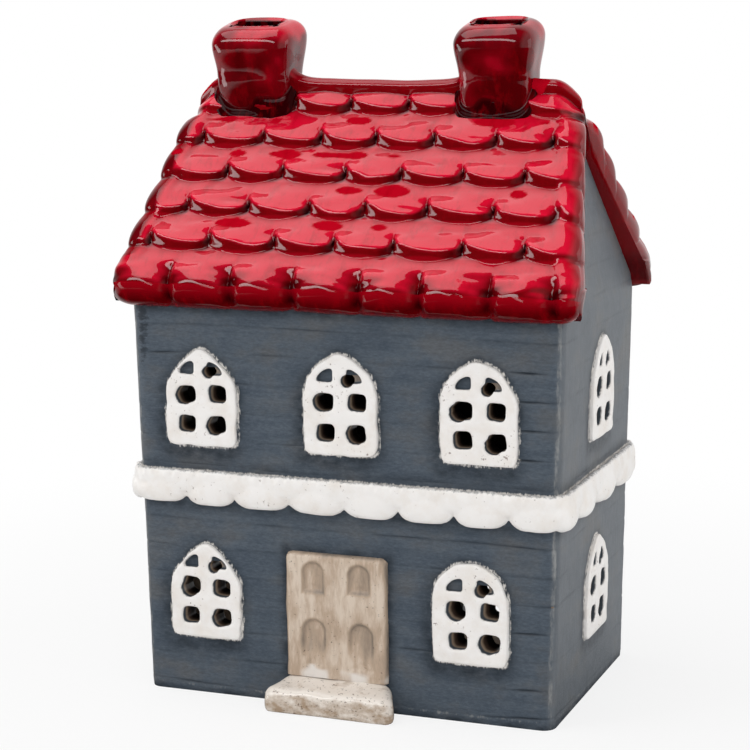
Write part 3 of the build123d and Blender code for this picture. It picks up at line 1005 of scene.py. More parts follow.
    def skin(self) -> Thing:
        """The bare roof skin, with what the tile tree reads kept on its corners.

        Returns:
            The skin.
        """
        half = self.half_rows()
        foot = self.slab_thickness * math.tan(PITCH)
        last = self.slope_length + foot
        rows = [(row, -1, place / (len(half) - 1)) for place, row in enumerate(half)][::-1]
        rows += [(row, 1, place / (len(half) - 1)) for place, row in enumerate(half)][1:]
        rings, marks = [], {}
        for row, side, share in rows:
            reach = foot + (last - 0.5 - foot) * share
            under = (-reach * math.cos(PITCH) + self.slab_thickness * math.sin(PITCH),
                     self.bed_height - reach * math.sin(PITCH) - self.slab_thickness * math.cos(PITCH))
            width, swell = self.half_width(row.down), self.verge_swell(row.down)
            plain = width - self.verge_lump * (swell - 0.3) * float(row.down < self.slope_length)
            points, stand = self.ring(row, under, side, width, plain)
            rings.append(points)
            across = points[:, 0]
            on_slope = 1.0 - smooth_step(row.down, self.slope_length - 5.0, self.slope_length)
            on_slope *= smooth_step(row.down, 4.0, 7.0)
            near_ridge = math.exp(-(max(row.down, 0.0) / 6.0) ** 2)
            values = {"down_slope": row.down, "along": -side * across, "stand": stand, "ray_stretch": row.stretch,
                      "roll": row.roll + (self.climb(across) if row.roll > -5.0 else 0.0), "nose": row.nose,
                      "back": float(side > 0), "swell": swell,
                      "verge": smooth_step(np.abs(across), width - 6.8, width - 3.6) * on_slope,
                      "end_drop": self.end_drop * near_ridge * smooth_step(np.abs(across), width - 8.0, width) ** 2}
            for name, value in values.items():
                marks.setdefault(name, []).append(np.broadcast_to(value, across.shape))
            ray = (0.0, side * math.sin(row.turn), math.cos(row.turn))
            marks.setdefault("ray", []).append(np.tile(ray, (len(points), 1)))
        thing = mesh_object("glazed_roof", *loft(rings))
        for name, values in marks.items():
            store(thing, name, np.concatenate(values))
        return thing

    def tile_tree(self) -> bpy.types.NodeTree:
        """Geometry Nodes that raise the skin into lapped courses of round-ended tiles.

        Returns:
            The tree.
        """
        tree, size = new_tree("Lapped tiles", {
            "Lip Height": 3.0, "Head Slope": 0.115, "Head Bend": 0.007, "Lip Slope": 0.787, "First Lip": 1.2,
            "Course Spacing": 9.75, "Tile Drop": 2.9, "Tile Width": 14.2, "Tile Growth": 0.28, "Course Drift": 1.1,
            "Edge Softness": 0.5, "Foot Softness": 0.6, "Slit Depth": 1.15, "Crown": 0.5, "Side Tilt": 0.55,
            "Groove Depth": 1.4, "Waviness": 0.25, "Dip Depth": 0.3, "Nose Top": self.crest, "Verge Height": 3.2,
            "Bed Round": self.bed_round}, {"Courses": 6, "Seed": 4})
        add = partial(add_node, tree)
        smooth = partial(add, "MapRange", interpolation_type="SMOOTHSTEP")
        names = ("down_slope", "along", "stand", "ray_stretch", "roll", "nose", "back", "verge", "swell", "end_drop")
        down, along, stand, ray_stretch, roll, nose, back, verge, swell, end_drop = (
            add("InputNamedAttribute", name, data_type="FLOAT") for name in names)
        seeded = back * 31.0 + size["Seed"]

        loop_in, loop_out = tree.nodes.new("GeometryNodeRepeatInput"), tree.nodes.new("GeometryNodeRepeatOutput")
        loop_in.pair_with_output(loop_out)
        loop_out.repeat_items.clear()
        for kind, name in (("FLOAT", "Height"), ("INT", "Course"), ("FLOAT", "Shade")):
            loop_out.repeat_items.new(kind, name)
        feed(loop_in.inputs["Iterations"], size["Courses"])
        feed(loop_in.inputs["Height"], 0.3)
        feed(loop_in.inputs["Course"], 1)
        course = Flow(loop_in.outputs["Course"])
        step = course - 1.0
        last = course.to("COMPARE", size["Courses"], 0.1)

        # Where along the course this place lies: number of the tile, and -1 to 1 across it
        width = step * size["Tile Growth"] + size["Tile Width"]
        half_on = course.to("MODULO", 2.0) * (width * 0.5)
        shift = step * size["Course Drift"] + half_on
        key = add("CombineXYZ", along * 0.055, course * 7.3 + seeded)
        sway = add("TexNoise", key, noise_dimensions="2D", Scale=1.0, Detail=0.0)
        count = ((sway - 0.5) * 3.2 + (along - shift)) / width
        across = count.to("FRACT") * 2.0 - 1.0
        aside = across.to("ABSOLUTE")
        tile_id = back * 997.0 + (course * 53.0 + count.to("FLOOR"))
        lot = add("RandomValue", (-1, -1, -1), (1, 1, 1), data_type="FLOAT_VECTOR", ID=tile_id, Seed=size["Seed"])
        luck = add("SeparateXYZ", lot)

        # Lip line: a flattened half round that hangs from cusp to cusp
        drop = (luck["X"] * 0.09 + 1.0) * size["Tile Drop"]
        cusp = luck["Z"] * 0.2 + (step * size["Course Spacing"] + size["First Lip"])
        past_edge = down - (drop * (1.0 - aside ** 2.1) + cusp)

        # Top of the tile, and its steep lip
        before_tip = cusp + size["Tile Drop"] - down
        top = before_tip * (size["Head Slope"] * -1.0) + size["Lip Height"]
        upward = before_tip.to("MAXIMUM", 0.0).to("MINIMUM", 14.0)
        top = top - upward * upward * size["Head Bend"] + luck["Y"] * 0.13
        lean = last * -0.28 + (luck["Z"] * 0.12 + size["Side Tilt"] * -1.0)
        top = across * smooth(before_tip, 5.6, 2.6) * lean + top
        top = (0.5 - aside ** 2.0) * smooth(before_tip, 9.0, 1.5) * size["Crown"] + top
        face = past_edge * (size["Lip Slope"] * -0.72) + size["Lip Height"]
        below_edge = past_edge.to("MAXIMUM", 0.0)
        face = last * 60.0 + (below_edge * below_edge * -0.11 + face)
        tile = top.to("SMOOTH_MIN", face, size["Edge Softness"]).to("MINIMUM", size["Lip Height"] + 0.4)

        # The slit beside it, and on the last course the grooves and scallops of the nose
        to_cusp = (1.0 - aside) * (width * 0.5)
        slit = to_cusp.bell(0.4) * smooth(past_edge, -0.5, 0.5) * size["Slit Depth"]
        slit = slit * smooth(past_edge, 2.7, 1.2) * (1.0 - last)
        past_top = down - size["Nose Top"]
        stops = [(0.0, 0.0), (0.22, 0.5), (0.45, 1.0), (0.62, 0.95), (0.85, 0.25), (1.0, 0.0)]
        lens = add("FloatCurve", curve=stops, Value=past_top * 0.11 + 0.06)
        deep = to_cusp.bell(1.3)
        scallop = (aside * (math.pi / 2)).to("SINE") ** 2.0 * past_top.bell(2.6) * 0.6
        groove = deep * lens * size["Groove Depth"] + scallop + aside ** 2.0 * nose * 0.35
        tile = tile - slit - groove * last
        height = Flow(loop_in.outputs["Height"]).to("SMOOTH_MAX", tile, size["Foot Softness"])
        feed(loop_out.inputs["Height"], height)
        feed(loop_out.inputs["Course"], course + 1.0)

        # Painted shade in each slit and on the right end of each lip beside it, and in the grooves of the nose, where
        # glaze also pools
        gathered = smooth(across, 0.4, 1.0, 0.0, 0.85) * (past_edge - 1.5).bell(1.3) * (1.0 - last)
        mouth = smooth(past_top, -2.0, -0.4) * 0.85 * past_top.to("LESS_THAN", 1.5)
        groove_pool_and_shade = deep ** 0.35 * (lens ** 0.4).to("MAXIMUM", mouth)
        gathered = gathered.to("MAXIMUM", slit).to("MAXIMUM", groove_pool_and_shade * last)
        feed(loop_out.inputs["Shade"], gathered.to("MAXIMUM", Flow(loop_in.outputs["Shade"])))

        # Shallow dips in the tile faces, blots of thick glaze above the lips, and the plain rounded verge
        spot = add("CombineXYZ", along * 0.075, down * 0.2, seeded)
        dip = add("TexNoise", spot, Scale=1.0, Detail=1.0, Roughness=0.4)
        bed = smooth(dip, 0.55, 0.74) * size["Dip Depth"] * -1.0 + Flow(loop_out.outputs["Height"])
        rows_down = (down - 5.2) / size["Course Spacing"]
        from_lip = rows_down.to("FRACT") - 0.24
        spot = add("CombineXYZ", along * 0.085, rows_down.to("FLOOR") * 5.3 + seeded)
        blot = add("TexNoise", spot, noise_dimensions="2D", Scale=1.0, Detail=1.0) - from_lip * from_lip * 4.5
        blot = smooth(blot + add("MapRange", down, 30.0, 8.0, 0.0, 0.05), 0.575, 0.605)
        blot = blot * add("MapRange", down, 42.0, 38.0)
        blot = blot.to("MAXIMUM", smooth(rows_down.to("FRACT"), 0.5, 0.0, 0.0, 0.42))
        rounded = swell * 0.9 + (size["Verge Height"] - 0.9)
        share = verge * 0.72
        bed = rounded * share + bed * (1.0 - share)

        # Waviness, the rise along the ray, under the ridge roll, and softened as the glaze does
        wave = add("TexNoise", add("InputPosition"), Scale=95.0, Detail=2.0, Roughness=0.45)
        wave = (wave - 0.5) * size["Waviness"] * 2.0
        lift = (bed + wave + size["Bed Round"]) * ray_stretch - size["Bed Round"]
        lift = lift.to("SMOOTH_MAX", wave * 0.8 + roll, 2.6) - end_drop
        soft, broad = (add("BlurAttribute", lift, data_type="FLOAT", Iterations=times) for times in (1, 14))
        shape = size["Geometry"]
        for name, value in (("glaze_pool", broad - soft), ("gathered", Flow(loop_out.outputs["Shade"])), ("dip", blot)):
            shape = add("StoreNamedAttribute", shape, data_type="FLOAT", domain="POINT", Name=name, Value=value)
        ray = add("InputNamedAttribute", "ray", data_type="FLOAT_VECTOR")
        offset = add("VectorMath", ray, operation="SCALE", Scale=soft * stand * MM)
        close_tree(add("SetPosition", shape, Offset=offset), size["Coat"])
        return tree

    def build(self) -> Thing:
        """Raise the tiles and mark painted shade on steep and turned faces, in slits, under the nose and by the stacks,
        where glaze also gathers.

        Returns:
            The roof as one plain skin.
        """
        thing = self.skin()
        run_tree(thing, self.tile_tree(), {"Coat": RedGlaze().material(), "Seed": 4})
        nose, verge, roll, stand, dip, slits = (
            kept(thing, name) for name in ("nose", "verge", "roll", "stand", "dip", "gathered"))
        along, outward = corners_of(thing)[:, 0], normals_of(thing)
        # Painted shade by facing: steep lips, the nose's face, verges turned aside, the ridge roll and one verge end
        # take the steep colour.
        steep = 1.0 - smooth_step(outward[:, 2], 0.2, 0.56)
        face = nose * (1.0 - smooth_step(outward[:, 2], 0.4, 0.8))
        turned = 0.9 * verge * smooth_step(np.abs(outward[:, 0]), 0.2, 0.65)
        shaded_verge_end = smooth_step(verge, 0.9, 1.0) * (along < 0.0)
        crest = 0.75 * smooth_step(roll, 0.5, 2.0)
        store(thing, "lip", np.maximum.reduce([steep, face, turned, crest, 0.85 * shaded_verge_end]))
        # Painted shade under the nose, in the crease by each stack and at that verge end, with the slits' shade from
        # the tiles.
        low_nose = 1.0 - smooth_step(outward[:, 2], -0.5, 0.5)
        by_stack = 0.4 * smooth_step(self.climb(along), 0.0, 0.8) * smooth_step(roll, -1.0, 0.5)
        on_top = smooth_step(stand, 0.7, 1.0)
        store(thing, "dip", dip * on_top)
        in_slits = slits * on_top * (1 - 0.8 * verge)
        under_nose = 0.55 * face * (0.3 + 0.7 * low_nose)
        store(thing, "gathered", np.maximum.reduce([in_slits, under_nose, by_stack, 0.42 * shaded_verge_end]))
        return thing

    def dress(self, thing: Thing, flues: list[Thing]) -> None:
        """Open the flues and finish the roof: red outside, raw clay in the attic.

        Args:
            thing: The roof.
            flues: Plugs that are cut out of it.
        """
        cut(thing, flues)
        RedGlaze().give(thing)
        thing.data.materials.append(RawClay().material())
        for face in thing.data.polygons:
            middle = face.center / MM
            foot = self.bed_height - abs(middle.y) * math.tan(PITCH) - self.slab_thickness / math.cos(PITCH)
            if middle.z < foot + 0.6 and abs(middle.x) < self.attic_half and abs(middle.y) < HALF_DEPTH:
                face.material_index = 1
        nodes = ["front_roof_slab", "rear_roof_slab", "ridge_roll"]
        nodes += [f"{word}_tile_course_{number}" for word in ("front", "rear") for number in range(1, 7)]
        present(thing, HOUSE, nodes, 70.0)


# Chimneys

@dataclass
class Chimney:
    """One chimney: soft square stack with a rolled rim, an open flue and a glaze fillet on the roof."""

    node: str
    seed: int
    around: int = 112
    flue_half: Pair = (5.9, 3.3)
    waist: float = 0.3
    rim_flare: float = 0.8
    rim_tilt: float = 3.0
    foot_round: float = 0.75
    tuck: float = 1.7
    neck_drop: float = 15.0
    flue_foot: float = 127.0
    bumps: Point = (11.0, 11.0, 19.0)

    def __post_init__(self) -> None:
        """Read the chimney's place from its CAD node, and set its waviness."""
        low, high = node_box(self.node)
        self.centre = (low + high) / 2
        self.half_x, self.half_y = (high[0] - low[0]) / 2 + 0.1, (high[1] - low[1]) / 2 - 0.9
        self.rim = high[2] - 0.1
        self.wavy = Unevenness(self.seed)

    def outline(self, half_x: float, half_y: float, power: float) -> Array:
        """Rounded square about the chimney's middle, anticlockwise.

        Args:
            half_x: Half its width.
            half_y: Half its depth.
            power: 2 for an oval, more for squarer corners.

        Returns:
            Points in X and Y.
        """
        cosine, sine = np.cos(full_turn(self.around)), np.sin(full_turn(self.around))
        reach = (np.abs(cosine / half_x) ** power + np.abs(sine / half_y) ** power) ** (-1.0 / power)
        return np.stack([cosine * reach, sine * reach], 1) + self.centre[:2]

    def ring(self, grow: float, heights: Array | float, power: float = 5.0, tuck: float = 0.0) -> Array:
        """One ring of the stack, grown by a distance, with its front and back drawn in by the tuck."""
        return level_ring(self.outline(self.half_x + grow - 0.2 * tuck, self.half_y + grow - tuck, power), heights)

    def ground(self, roof: BVHTree, grow: float) -> Array:
        """Height of the roof under a grown ring, evened out as pooled glaze does.

        Args:
            roof: The roof's skin.
            grow: How far the ring stands out.

        Returns:
            One height for each point.
        """
        heights = []
        for x, y, _ in self.ring(grow, 0.0, tuck=self.tuck):
            hit = roof.ray_cast(Vector((x * MM, y * MM, 0.2)), Vector((0, 0, -1)))[0]
            heights.append(hit.z / MM)
        level = np.minimum(heights, self.rim - 15.5)
        for _ in range(10):
            level = (np.roll(level, 1) + 2 * level + np.roll(level, -1)) / 4
        return level

    def build(self, roof: BVHTree) -> Thing:
        """Stack the rings from the fillet on the roof to the rim and back down the flue.

        Args:
            roof: The finished roof skin, to stand on.

        Returns:
            The chimney.
        """
        rim, neck = self.rim, self.rim - self.neck_drop
        foot = self.foot_round
        rings = [self.ring(foot + 0.5, self.ground(roof, foot + 0.5) - 0.9, tuck=self.tuck)]
        for turn in np.linspace(0.0, math.pi / 2, 8):
            grow = foot * (1 - math.sin(turn))
            lifted = self.ground(roof, grow) + foot * (1 - math.cos(turn)) - 0.12 * math.cos(turn)
            rings.append(self.ring(grow, lifted, tuck=self.tuck))
        start = rings[-1][:, 2]
        for share in np.linspace(0.0, 1.0, 16)[1:]:
            rings.append(self.ring(-self.waist * math.sin(math.pi / 2 * share), start + (neck - start) * share,
                                   5.0 - 0.8 * share, self.tuck * (1 - share) ** 1.6))
        for share in np.linspace(0.0, 1.0, 18)[1:]:
            swell = (self.waist + self.rim_flare) * share * share * (3 - 2 * share) - self.waist
            rings.append(self.ring(swell, neck + 10.5 * share, 4.6))
        for turn in np.linspace(0.0, math.pi / 2, 12)[1:]:
            inward = self.rim_flare - 3.4 * (1 - math.cos(turn))
            rings.append(self.ring(inward, rim - 4.5 + 4.2 * math.sin(turn), 4.6 - 0.8 * turn))
        flue = [(math.sin(turn), rim - (1 - math.sin(turn))) for turn in np.linspace(math.pi / 2, 0.0, 7)]
        flue += [(0.0, height) for height in np.linspace(rim - 1.6, self.flue_foot, 22)] + [(1.2, self.flue_foot)]
        flue_x, flue_y = self.flue_half
        rings += [level_ring(self.outline(flue_x + grow, flue_y + grow, 2.8), height) for grow, height in flue]
        points, faces = loft(rings, closed=True)
        to_front = np.clip((self.centre[1] + self.half_y - points[:, 1]) / (2 * self.half_y), 0.0, 1.0)
        points[:, 2] += 0.5 - self.rim_tilt * to_front * smooth_step(points[:, 2], neck, rim - 1.0)
        above = smooth_step(points[:, 2], float(start.max()), rim - 12.0)
        for axis, (far, size, height) in enumerate(((0, self.bumps, 0.45), (80, self.bumps, 0.36), (160, 8.0, 0.12))):
            points[:, axis] += self.wavy.at(points + far, size) * height * above
        thing = mesh_object(self.node + "_stack", points, faces)
        # Painted shade in the fillet where the stack meets the roof, with glaze pooled there.
        fillet = np.interp(np.arange(len(rings)), [5, 9], [0.78, 0.0])
        store(thing, "gathered", np.repeat(fillet, self.around))
        weld(thing)
        self.shade(thing)
        return thing

    def shade(self, thing: Thing) -> None:
        """Mark the mottled glaze of the stack, thin at the rim, with painted shade on its upright body and in the flue.

        Args:
            thing: The stack.
        """
        points = corners_of(thing)
        mottle = 0.5 * self.wavy.at(points, 5.0) + 0.3 * self.wavy.at(points + 30, 2.4)
        upper = smooth_step(points[:, 2], self.rim - 7.5, self.rim - 2.5)
        store(thing, "glaze_pool", 0.66 + mottle - 0.46 * upper)
        # Painted shade on the upright body, less at the rim.
        store(thing, "lip", 0.45 - 0.3 * upper)
        # Painted shade inside the flue.
        within = np.abs(points - self.centre)[:, :2] < np.array(self.flue_half) + 0.4
        inside = smooth_step(self.rim - 0.5 - points[:, 2], 0.0, 0.7) * within.all(axis=1)
        store(thing, "gathered", np.maximum(inside, kept(thing, "gathered")))

    def flue_cutter(self) -> Thing:
        """Upright plug that opens the roof under the flue."""
        return mesh_object("flue_plug", *loft([level_ring(self.outline(6.0, 4.3, 3.2), z) for z in (110.0, 152.0)]))

    def dress(self, thing: Thing) -> None:
        """Glaze the stack."""
        RedGlaze().give(thing)
        present(thing, HOUSE, [self.node])


# Walls

@dataclass
class Walls:
    """The four walls and their gables as one skin with incised boards, cut by windows and doorway."""

    top_half: float = 53.1
    gable_draw: float = 0.165
    thickness: float = 5.0
    corner: float = 3.0
    board: float = 6.7
    first_line: float = 2.2
    column_step: float = 1.0
    doorway_half: float = 23.0
    doorway_top: float = 43.0
    floor: float = 5.0
    overlap: float = 1.5
    line_rows: tuple[float, ...] = (-2.4, -1.5, -0.85, -0.42, -0.18, 0.0, 0.18, 0.42, 0.85, 1.5, 2.4, 3.35)
    wavy: Unevenness = uneven(23)

    def shell(self) -> Thing:
        """Outer skin, its rows close together at each incised line, and a plain inner skin.

        Returns:
            The walls, without their openings.
        """
        long_run, short_run = (int(2 * (half - self.corner) / self.column_step) + 1 for half in (FOOT_HALF, HALF_DEPTH))
        places = round_house(long_run, short_run, 8)
        top = EAVES_HEIGHT + HALF_DEPTH * math.tan(PITCH) + self.overlap
        rows = [line + offset for line in np.arange(self.first_line, top, self.board) for offset in self.line_rows]
        rings = []
        for height in [0.0, 0.5] + [height for height in rows if 0.9 < height < top] + [top]:
            wave = self.wavy.at(level_ring(places[:, :2] * (50, 31), height), 17.0)
            rings.append(self.ring(places, height + (0.55 * wave if 0.6 < height < 90 else 0.0), 0.0))
        inner = [self.ring(places, height, self.thickness) for height in (200.0, 60.0, 0.0)]
        thing = mesh_object("house_walls", *loft(rings + inner, closed=True))
        weld(thing, 0.01)
        return thing

    def ring(self, places: Array, level: Array | float, inset: float) -> Array:
        """One ring of the walls, clipped under the roof's slope.

        Args:
            places: Columns round the house.
            level: Its height, or one for each point.
            inset: Distance in from the outer face.

        Returns:
            Points in millimetres.
        """
        radius = max(self.corner - inset, 0.4)
        y = places[:, 1] * (HALF_DEPTH - inset - radius) + places[:, 3] * radius
        z = np.minimum(level, EAVES_HEIGHT + self.overlap + (HALF_DEPTH - np.abs(y)) * math.tan(PITCH))
        half_x = FOOT_HALF + (self.top_half - FOOT_HALF) / EAVES_HEIGHT * np.minimum(z, EAVES_HEIGHT)
        half_x = half_x - self.gable_draw * np.maximum(z - EAVES_HEIGHT, 0.0) - inset
        return np.column_stack([places[:, 0] * (half_x - radius) + places[:, 2] * radius, y, z])

    def incise(self, thing: Thing) -> None:
        """Press the lines between the boards, and leave the faces as uneven as a rolled slab.

        Args:
            thing: The walls.
        """
        points, outward = corners_of(thing), normals_of(thing)
        x, y, z = np.abs(points[:, 0]), np.abs(points[:, 1]), points[:, 2]
        front = np.abs(outward[:, 1]) > 0.7
        outer = (y > HALF_DEPTH - 2.9) | (x > 46.6 - 0.2 * np.maximum(z - EAVES_HEIGHT, 0))
        phase = z - 0.55 * self.wavy.at(points, 17.0) - self.first_line + self.board / 2
        line = bell(phase % self.board, self.board / 2, 0.3)
        reach = self.wavy.at(points + 60, (7.0, 7.0, 3.3))
        strength = 0.06 + 0.26 * np.clip(reach - 0.1, 0, 1)
        to_corner = np.minimum(FOOT_HALF - x, 60.0)
        strength += 0.17 * bell(to_corner, 6.0, 3.5) * np.clip(reach + 0.55, 0, 1) * front
        strength *= np.where(front, 1.0, 0.45)
        lift = -strength * line
        lift += 0.22 * self.wavy.at(points, 21.0) + 0.05 * self.wavy.at(points + 90, (9.0, 9.0, 4.0))
        lift += 0.03 * self.wavy.at(points + 30, 2.2)
        lift *= outer * smooth_step(z, 0.0, 1.5)
        set_corners(thing, points + outward * lift[:, None])
        store(thing, "groove", np.clip(2.4 * strength * line * outer, 0.0, 1.0))

    def doorway(self) -> Thing:
        """Round-headed plug that opens the back wall.

        Returns:
            The plug.
        """
        radius = self.doorway_half
        outline = [(-radius, self.floor), (radius, self.floor)]
        outline += [(radius * math.cos(a), self.doorway_top - radius + radius * math.sin(a))
                    for a in np.linspace(0.0, math.pi, 40)]
        rings = [np.array([(x, y, z) for x, z in outline]) for y in (HALF_DEPTH + 4.0, HALF_DEPTH - 9.0)]
        return mesh_object("doorway_plug", *loft(rings))

    def dress(self, thing: Thing, windows: list["Window"]) -> None:
        """Brush on the engobe, darker round each plaque with painted shadow below it, with painted shade under the
        eaves, by the band, round the door and at the foot, worn at the corners, raw clay inside.

        Args:
            thing: The walls.
            windows: The plaques that they carry.
        """
        points, outward = corners_of(thing), normals_of(thing)
        z = points[:, 2]
        halo, smear = np.zeros(len(points)), np.zeros(len(points))
        for window in windows:
            outline = window.to_wall(level_ring(window.outline(), 0.0))
            near = np.nonzero(np.linalg.norm(points - outline.mean(axis=0), axis=1) < 24.0)[0]
            # Brushed dark edge round each plaque, and painted shadow below and to the left of it.
            gap, low_gap = (np.linalg.norm((points[near] + shift)[:, None] - outline[None], axis=2).min(axis=1)
                            for shift in ((0.0, 0.0, 0.0), (0.8, 0.0, 1.6)))
            halo[near] = np.maximum.reduce([halo[near], 0.8 * bell(low_gap, 0.0, 2.4), 0.95 * bell(gap, 0.0, 1.1)])
            smear[near] = np.maximum(smear[near], 0.84 * np.exp(-(gap / 1.0) ** 1.4))
        # Dark edge round the door: part brushed, part painted shade.
        low, high = node_box("front_door")
        away = np.maximum(np.abs(points - (low + high) / 2) - (high - low) / 2, 0.0)
        gap = np.linalg.norm(away[:, [0, 2]], axis=1) + np.where(points[:, 1] < -28.0, 0.0, 50.0)
        # Painted shade under the eaves, under and over the band, and a painted contact shade at the foot.
        under_eaves = 0.8 * bell(z, 93.4, 1.2) * (np.abs(points[:, 1]) > 30.0)
        by_band = [0.8 * bell(z, 47.0, 2.0), 0.4 * bell(z, 56.0, 1.3)]
        halo = np.maximum.reduce([halo, 0.8 * bell(gap, 0.0, 1.6), under_eaves, 0.9 * bell(z, 0.0, 1.3), *by_band])
        bend = np.minimum(np.abs(outward[:, 0]), np.abs(outward[:, 1]))
        left_corner = bell(points[:, 0], -50.0, 3.0) * (points[:, 1] < -26.0)
        for name, values in {
                "side_face": smooth_step(np.abs(outward[:, 0]), 0.35, 0.9), "halo": halo,
                "slip_smear": np.maximum(smear, 0.8 * bell(z, 54.3, 1.1)),
                "wear": np.maximum(0.72 * smooth_step(bend, 0.25, 0.6), 0.66 * bell(z, 1.6, 0.7)),
                "scored": left_corner * (0.56 + 0.26 * smooth_step(z, 70.0, 88.0))}.items():
            store(thing, name, values)
        SlateEngobe().give(thing)
        thing.data.materials.append(RawClay().material())
        for face in thing.data.polygons:
            middle = face.center / MM
            lean = GABLE_LEAN * min(middle.z, EAVES_HEIGHT) - self.gable_draw * max(middle.z - EAVES_HEIGHT, 0.0)
            if abs(middle.x) < FOOT_HALF + lean - 1.0 and abs(middle.y) < HALF_DEPTH - 1.0:
                face.material_index = 1
        nodes = ["front_wall", "back_wall", "left_gable_wall", "right_gable_wall"]
        present(thing, HOUSE, nodes, 45.0)


# Windows

class Head(Enum):
    """Shapes of a window's head, as its bulge beyond a straight point, in millimetres."""

    STRAIGHT = 0.45
    CURVED = 1.5
    ROUND = 2.4
    GOTHIC = 1.8


@dataclass
class Window:
    """One white plaque with four panes, two lights and the holes punched through the wall."""

    node: str
    head: Head
    seed: int
    shoulder: float
    pane: Pair = (4.7, 4.3)
    mullion: float = 3.3
    transom: float = 2.9
    sill_rail: float = 2.9
    light_rail: float = 2.5
    wall: float = 5.0
    proud: float = 1.1
    cutter_top: float = 4.0
    clay: float = 0.9
    slant: Pair = (0.9, 0.3)

    def __post_init__(self) -> None:
        """Read the plaque's place from its CAD node."""
        self.low, self.high = node_box(self.node)
        self.on_side = "side" in self.node
        axis = 1 if self.on_side else 0
        self.width = float(self.high[axis] - self.low[axis]) * (0.94 if self.on_side else 1.0)
        self.height = float(self.high[2] - self.low[2])
        self.panes_top = self.sill_rail + 2 * self.pane[1] + self.transom
        self.wavy = Unevenness(self.seed)

    def to_wall(self, points: Array) -> Array:
        """Turn points on the flat into their place on the house.

        Args:
            points: Distances across, up and out of the wall.

        Returns:
            Places in millimetres.
        """
        across, up, out = points.T
        middle = (self.low + self.high) / 2
        z = self.low[2] + up
        if not self.on_side:
            return np.column_stack([middle[0] + across, -HALF_DEPTH - out, z])
        side = -1.0 if "left" in self.node else 1.0
        return np.column_stack([side * (FOOT_HALF + GABLE_LEAN * z + out), middle[1] + side * across, z])

    def outline(self) -> Array:
        """Soft, hand-cut outline of the plaque.

        Returns:
            Points across and up, anticlockwise from the sill.
        """
        half, bulge, rise = self.width / 2, self.head.value, self.height - self.shoulder
        run = math.hypot(half, rise)
        arch = []
        for share in np.linspace(0.0, 1.0, 13)[1:]:
            out = bulge * 4 * share * (1 - share)
            arch.append((half * (1 - share) + out * rise / run, self.shoulder + rise * share + out * half / run))
        shape = [(-half, 0.0), (half, 0.0), (half, self.shoulder)] + arch
        shape += [(-x, y) for x, y in arch[-2::-1]] + [(-half, self.shoulder)]
        dense = []
        for (x0, y0), (x1, y1) in zip(shape, shape[1:] + shape[:1]):
            steps = max(1, int(math.hypot(x1 - x0, y1 - y0) / 0.35))
            dense += [(x0 + (x1 - x0) * n / steps, y0 + (y1 - y0) * n / steps) for n in range(steps)]
        ring = np.array(dense)
        for _ in range(26):
            ring = (np.roll(ring, 1, 0) + 2 * ring + np.roll(ring, -1, 0)) / 4
        spots = level_ring(ring, 0.0)
        ring = ring + 0.22 * np.column_stack([self.wavy.at(spots, 2.6), self.wavy.at(spots + 50, 2.6)])
        ring[:, 1] = np.clip(ring[:, 1], 0.05, self.height - 0.05)
        outward = ring - ring.mean(axis=0)
        return ring + 0.3 * outward / np.linalg.norm(outward, axis=1)[:, None]

    def prism(self, name: str, ring: Array, low: float, high: float, back_share: float = 1.0,
              shift: Pair = (0.0, 0.0)) -> Thing:
        """Closed prism over a flat ring.

        Args:
            name: The object's name.
            ring: Anticlockwise points across and up.
            low: Distance out of the wall of its inner end.
            high: Distance out of the wall of its outer end.
            back_share: Size of the inner end against the outer one.
            shift: How far the inner end lies aside and up.

        Returns:
            The working object, still on the flat.
        """
        middle = ring.mean(axis=0)
        inner = middle + (ring - middle) * back_share + np.array(shift)
        return mesh_object(name, *loft([level_ring(inner, low), level_ring(ring, high)]))

    def lights(self) -> Thing:
        """The two blind quarter lights in the head.

        Returns:
            Both plugs as one object.
        """
        foot = self.panes_top + self.light_rail
        tall = min(3.1, self.height - foot - 2.6)
        plugs = []
        for side in (-1, 1):
            inner, span = side * 1.75, side * (3.2 if self.on_side else 4.0)
            ring = np.array([(inner, foot)] + [(inner + span * math.cos(a) ** 0.9, foot + tall * math.sin(a) ** 1.2)
                                               for a in np.linspace(0.0, math.pi / 2, 9)])
            plugs.append(self.prism("light_plug", ring[::side], -0.4, self.cutter_top))
        both = joined("lights", [plug.data for plug in plugs])
        discard(*plugs)
        return both

    def marks(self, name: str, *places: Pair) -> Thing:
        """Loose points where the tree sets a pane or a punch."""
        return mesh_object(name, np.array([(x, y, 0.0) for x, y in places]), [])

    def block_ring(self) -> Array:
        """Outline of the clay round the holes, inside the wall.

        Returns:
            Points across and up.
        """
        side = self.mullion / 2 + self.pane[0] + self.clay
        low, top = self.sill_rail - self.clay, self.panes_top + self.clay
        peep, right, raised = top + 3.6, side + self.slant[0] * 0.6, top + self.slant[1] * 0.6
        return np.array([(-side, low), (right, low), (right, raised), (5.2, raised), (5.2, peep), (-0.6, peep),
                         (-0.6, top), (-side, top)])

